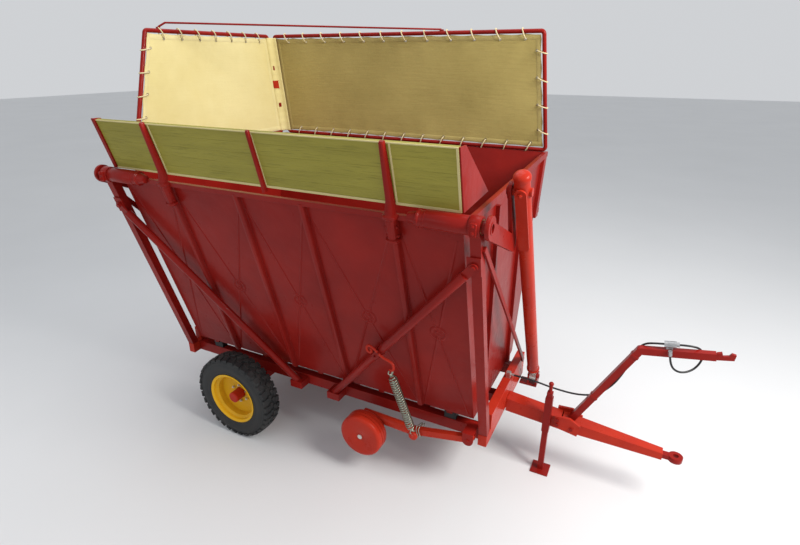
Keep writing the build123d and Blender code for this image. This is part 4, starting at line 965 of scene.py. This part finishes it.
def welds():
    """Beads along both edges of every rib, and beside the feet of the long arms."""
    beads = Shape()
    for x in RIBS:
        for s in (-1, 1):
            edge = x + s * 0.0315
            for place, out, lo, hi, stop in ((on_near, NEAR_OUT, wall_lo, wall_hi, 0.30),
                                             (on_far, FAR_OUT, far_lo, far_hi, 0.08)):
                beads.bead(place(edge, lo.z + 0.03, 0.002), place(edge, hi.z - stop, 0.002), 0.0052, out, x)
    for x in (RIBS[0], RIBS[3]):
        for s in (-1, 1):
            edge = x + s * 0.034
            beads.bead(on_near(edge, wall_hi.z - 0.20, 0.028), on_near(edge, wall_hi.z - 0.05, 0.028),
                       0.006, X * s, x + s)
    beads.make("box_welds", RED, "box", "red_paint", angle=60)


# ------------------------------------------------------------------------------
# Materials on the CAD nodes, and the pieces
# ------------------------------------------------------------------------------
BOARDS = boards_material()
ROPE = rope_material()
HEM = canvas_material("canvas_hem", (0.86, 0.77, 0.40), (0.76, 0.66, 0.30))
# The far hem is the same canvas as the rear hem, made darker: painted shade.
HEM_PAINTED_SHADE = canvas_material("canvas_hem_painted_shade", (0.50, 0.40, 0.14), (0.42, 0.33, 0.10))

dress(["box_floor", "rim_frame", "flap_end_plates", "struts", "post_braces", "cross_members", "chassis_rails",
       "axle_beam", "ram_feet", "neck_bar", "stand_sleeve", "stand_leg", "arm_bracket", "tip_levers",
       "tip_posts", "pivot_carriers", "tow_eye"], RED, 0.0045)
dress(["near_wall", "far_wall", "front_wall", "rear_wall", "pivot_shafts", "far_canvas_frame",
       "rear_canvas_frame", "canvas_ties", "frame_bolts"], RED)
# The end beams, drawbar, roller arm, hubs and ram barrels take the lit copy of the red enamel: painted light.
dress(["end_beams", "drawbar_nose", "drawbar_beam", "roller_arm"], RED_LIT_COPY, 0.0045)
dress(["hub_near", "hub_far", "ram_barrel_front", "ram_barrel_rear"], RED_LIT_COPY)
dress(["rim_near", "rim_far"], YELLOW)
dress(["ram_rod_front", "ram_rod_rear", "arm_pins", "bearings_near", "bearings_far", "wheel_nuts_near",
       "wheel_nuts_far", "hose_fitting"], STEEL)
dress(["pivot_bushes"], BRONZE)
dress(["hose_coupler"], GREY)
dress(["rest_pads"], TYRE)

pressings()
ribs()
flap_arms()
flap()
canvases()
tyre("near", "wheel_near")
tyre("far", "wheel_far")
spring()
hook()
roller()
arm_fittings()
hoses()
rams()
pivots()
welds()

# ------------------------------------------------------------------------------
# Stage, light and camera
# ------------------------------------------------------------------------------
def stage():
    mat = new_material("studio_floor")
    v = coords(mat)
    tone = mix(mat, noise(mat, v, 0.35, 3.0), (0.66, 0.67, 0.68), (0.72, 0.73, 0.74))
    surface(mat, tone, 0.7, bump(mat, noise(mat, v, 40.0, 3.0), 0.05, 0.002), specular=0.2)
    size = 60.0
    corners = [(-size, -size, 0), (size, -size, 0), (size, size, 0), (-size, size, 0)]
    floor = mesh_piece("studio_floor", corners,
                       [(0, 1, 2, 3)], mat, smooth=False)


def area_light(name, spot, target, size, power, color=(1, 1, 1)):
    light = bpy.data.lights.new(name, "AREA")
    light.shape = "RECTANGLE"
    light.size = size[0]
    light.size_y = size[1]
    light.energy = power
    light.color = color
    obj = bpy.data.objects.new(name, light)
    bpy.context.scene.collection.objects.link(obj)
    obj.location = spot
    obj.rotation_euler = (Vector(target) - Vector(spot)).to_track_quat("-Z", "Y").to_euler()


def lights():
    world = bpy.data.worlds.new("studio")
    bpy.context.scene.world = world
    world.use_nodes = True
    world.node_tree.nodes["Background"].inputs["Color"].default_value = (0.87, 0.89, 0.92, 1)
    world.node_tree.nodes["Background"].inputs["Strength"].default_value = 0.72
    middle = at(0, 0, 2.0)
    area_light("key", at(7.5, -1.5, 7.0), middle, (3.0, 3.0), 800, (1.0, 0.97, 0.93))
    area_light("top", at(-1.0, 1.0, 9.5), middle, (6.0, 6.0), 240, (0.97, 0.98, 1.0))
    area_light("near", at(-3.0, -8.0, 4.0), middle, (5.0, 3.0), 40, (0.95, 0.97, 1.0))


def camera():
    cam = bpy.data.cameras.new("camera")
    obj = bpy.data.objects.new("camera", cam)
    bpy.context.scene.collection.objects.link(obj)
    cam.sensor_width = 36.0
    cam.lens = 23.0
    obj.location = at(2.873, -4.464, 3.953)
    forward = Vector((-0.4124, 0.8246, -0.3872))
    obj.rotation_euler = forward.to_track_quat("-Z", "Y").to_euler()
    bpy.context.scene.camera = obj


stage()
lights()
camera()
bpy.context.scene.view_settings.view_transform = "Standard"

bpy.context.view_layer.update()
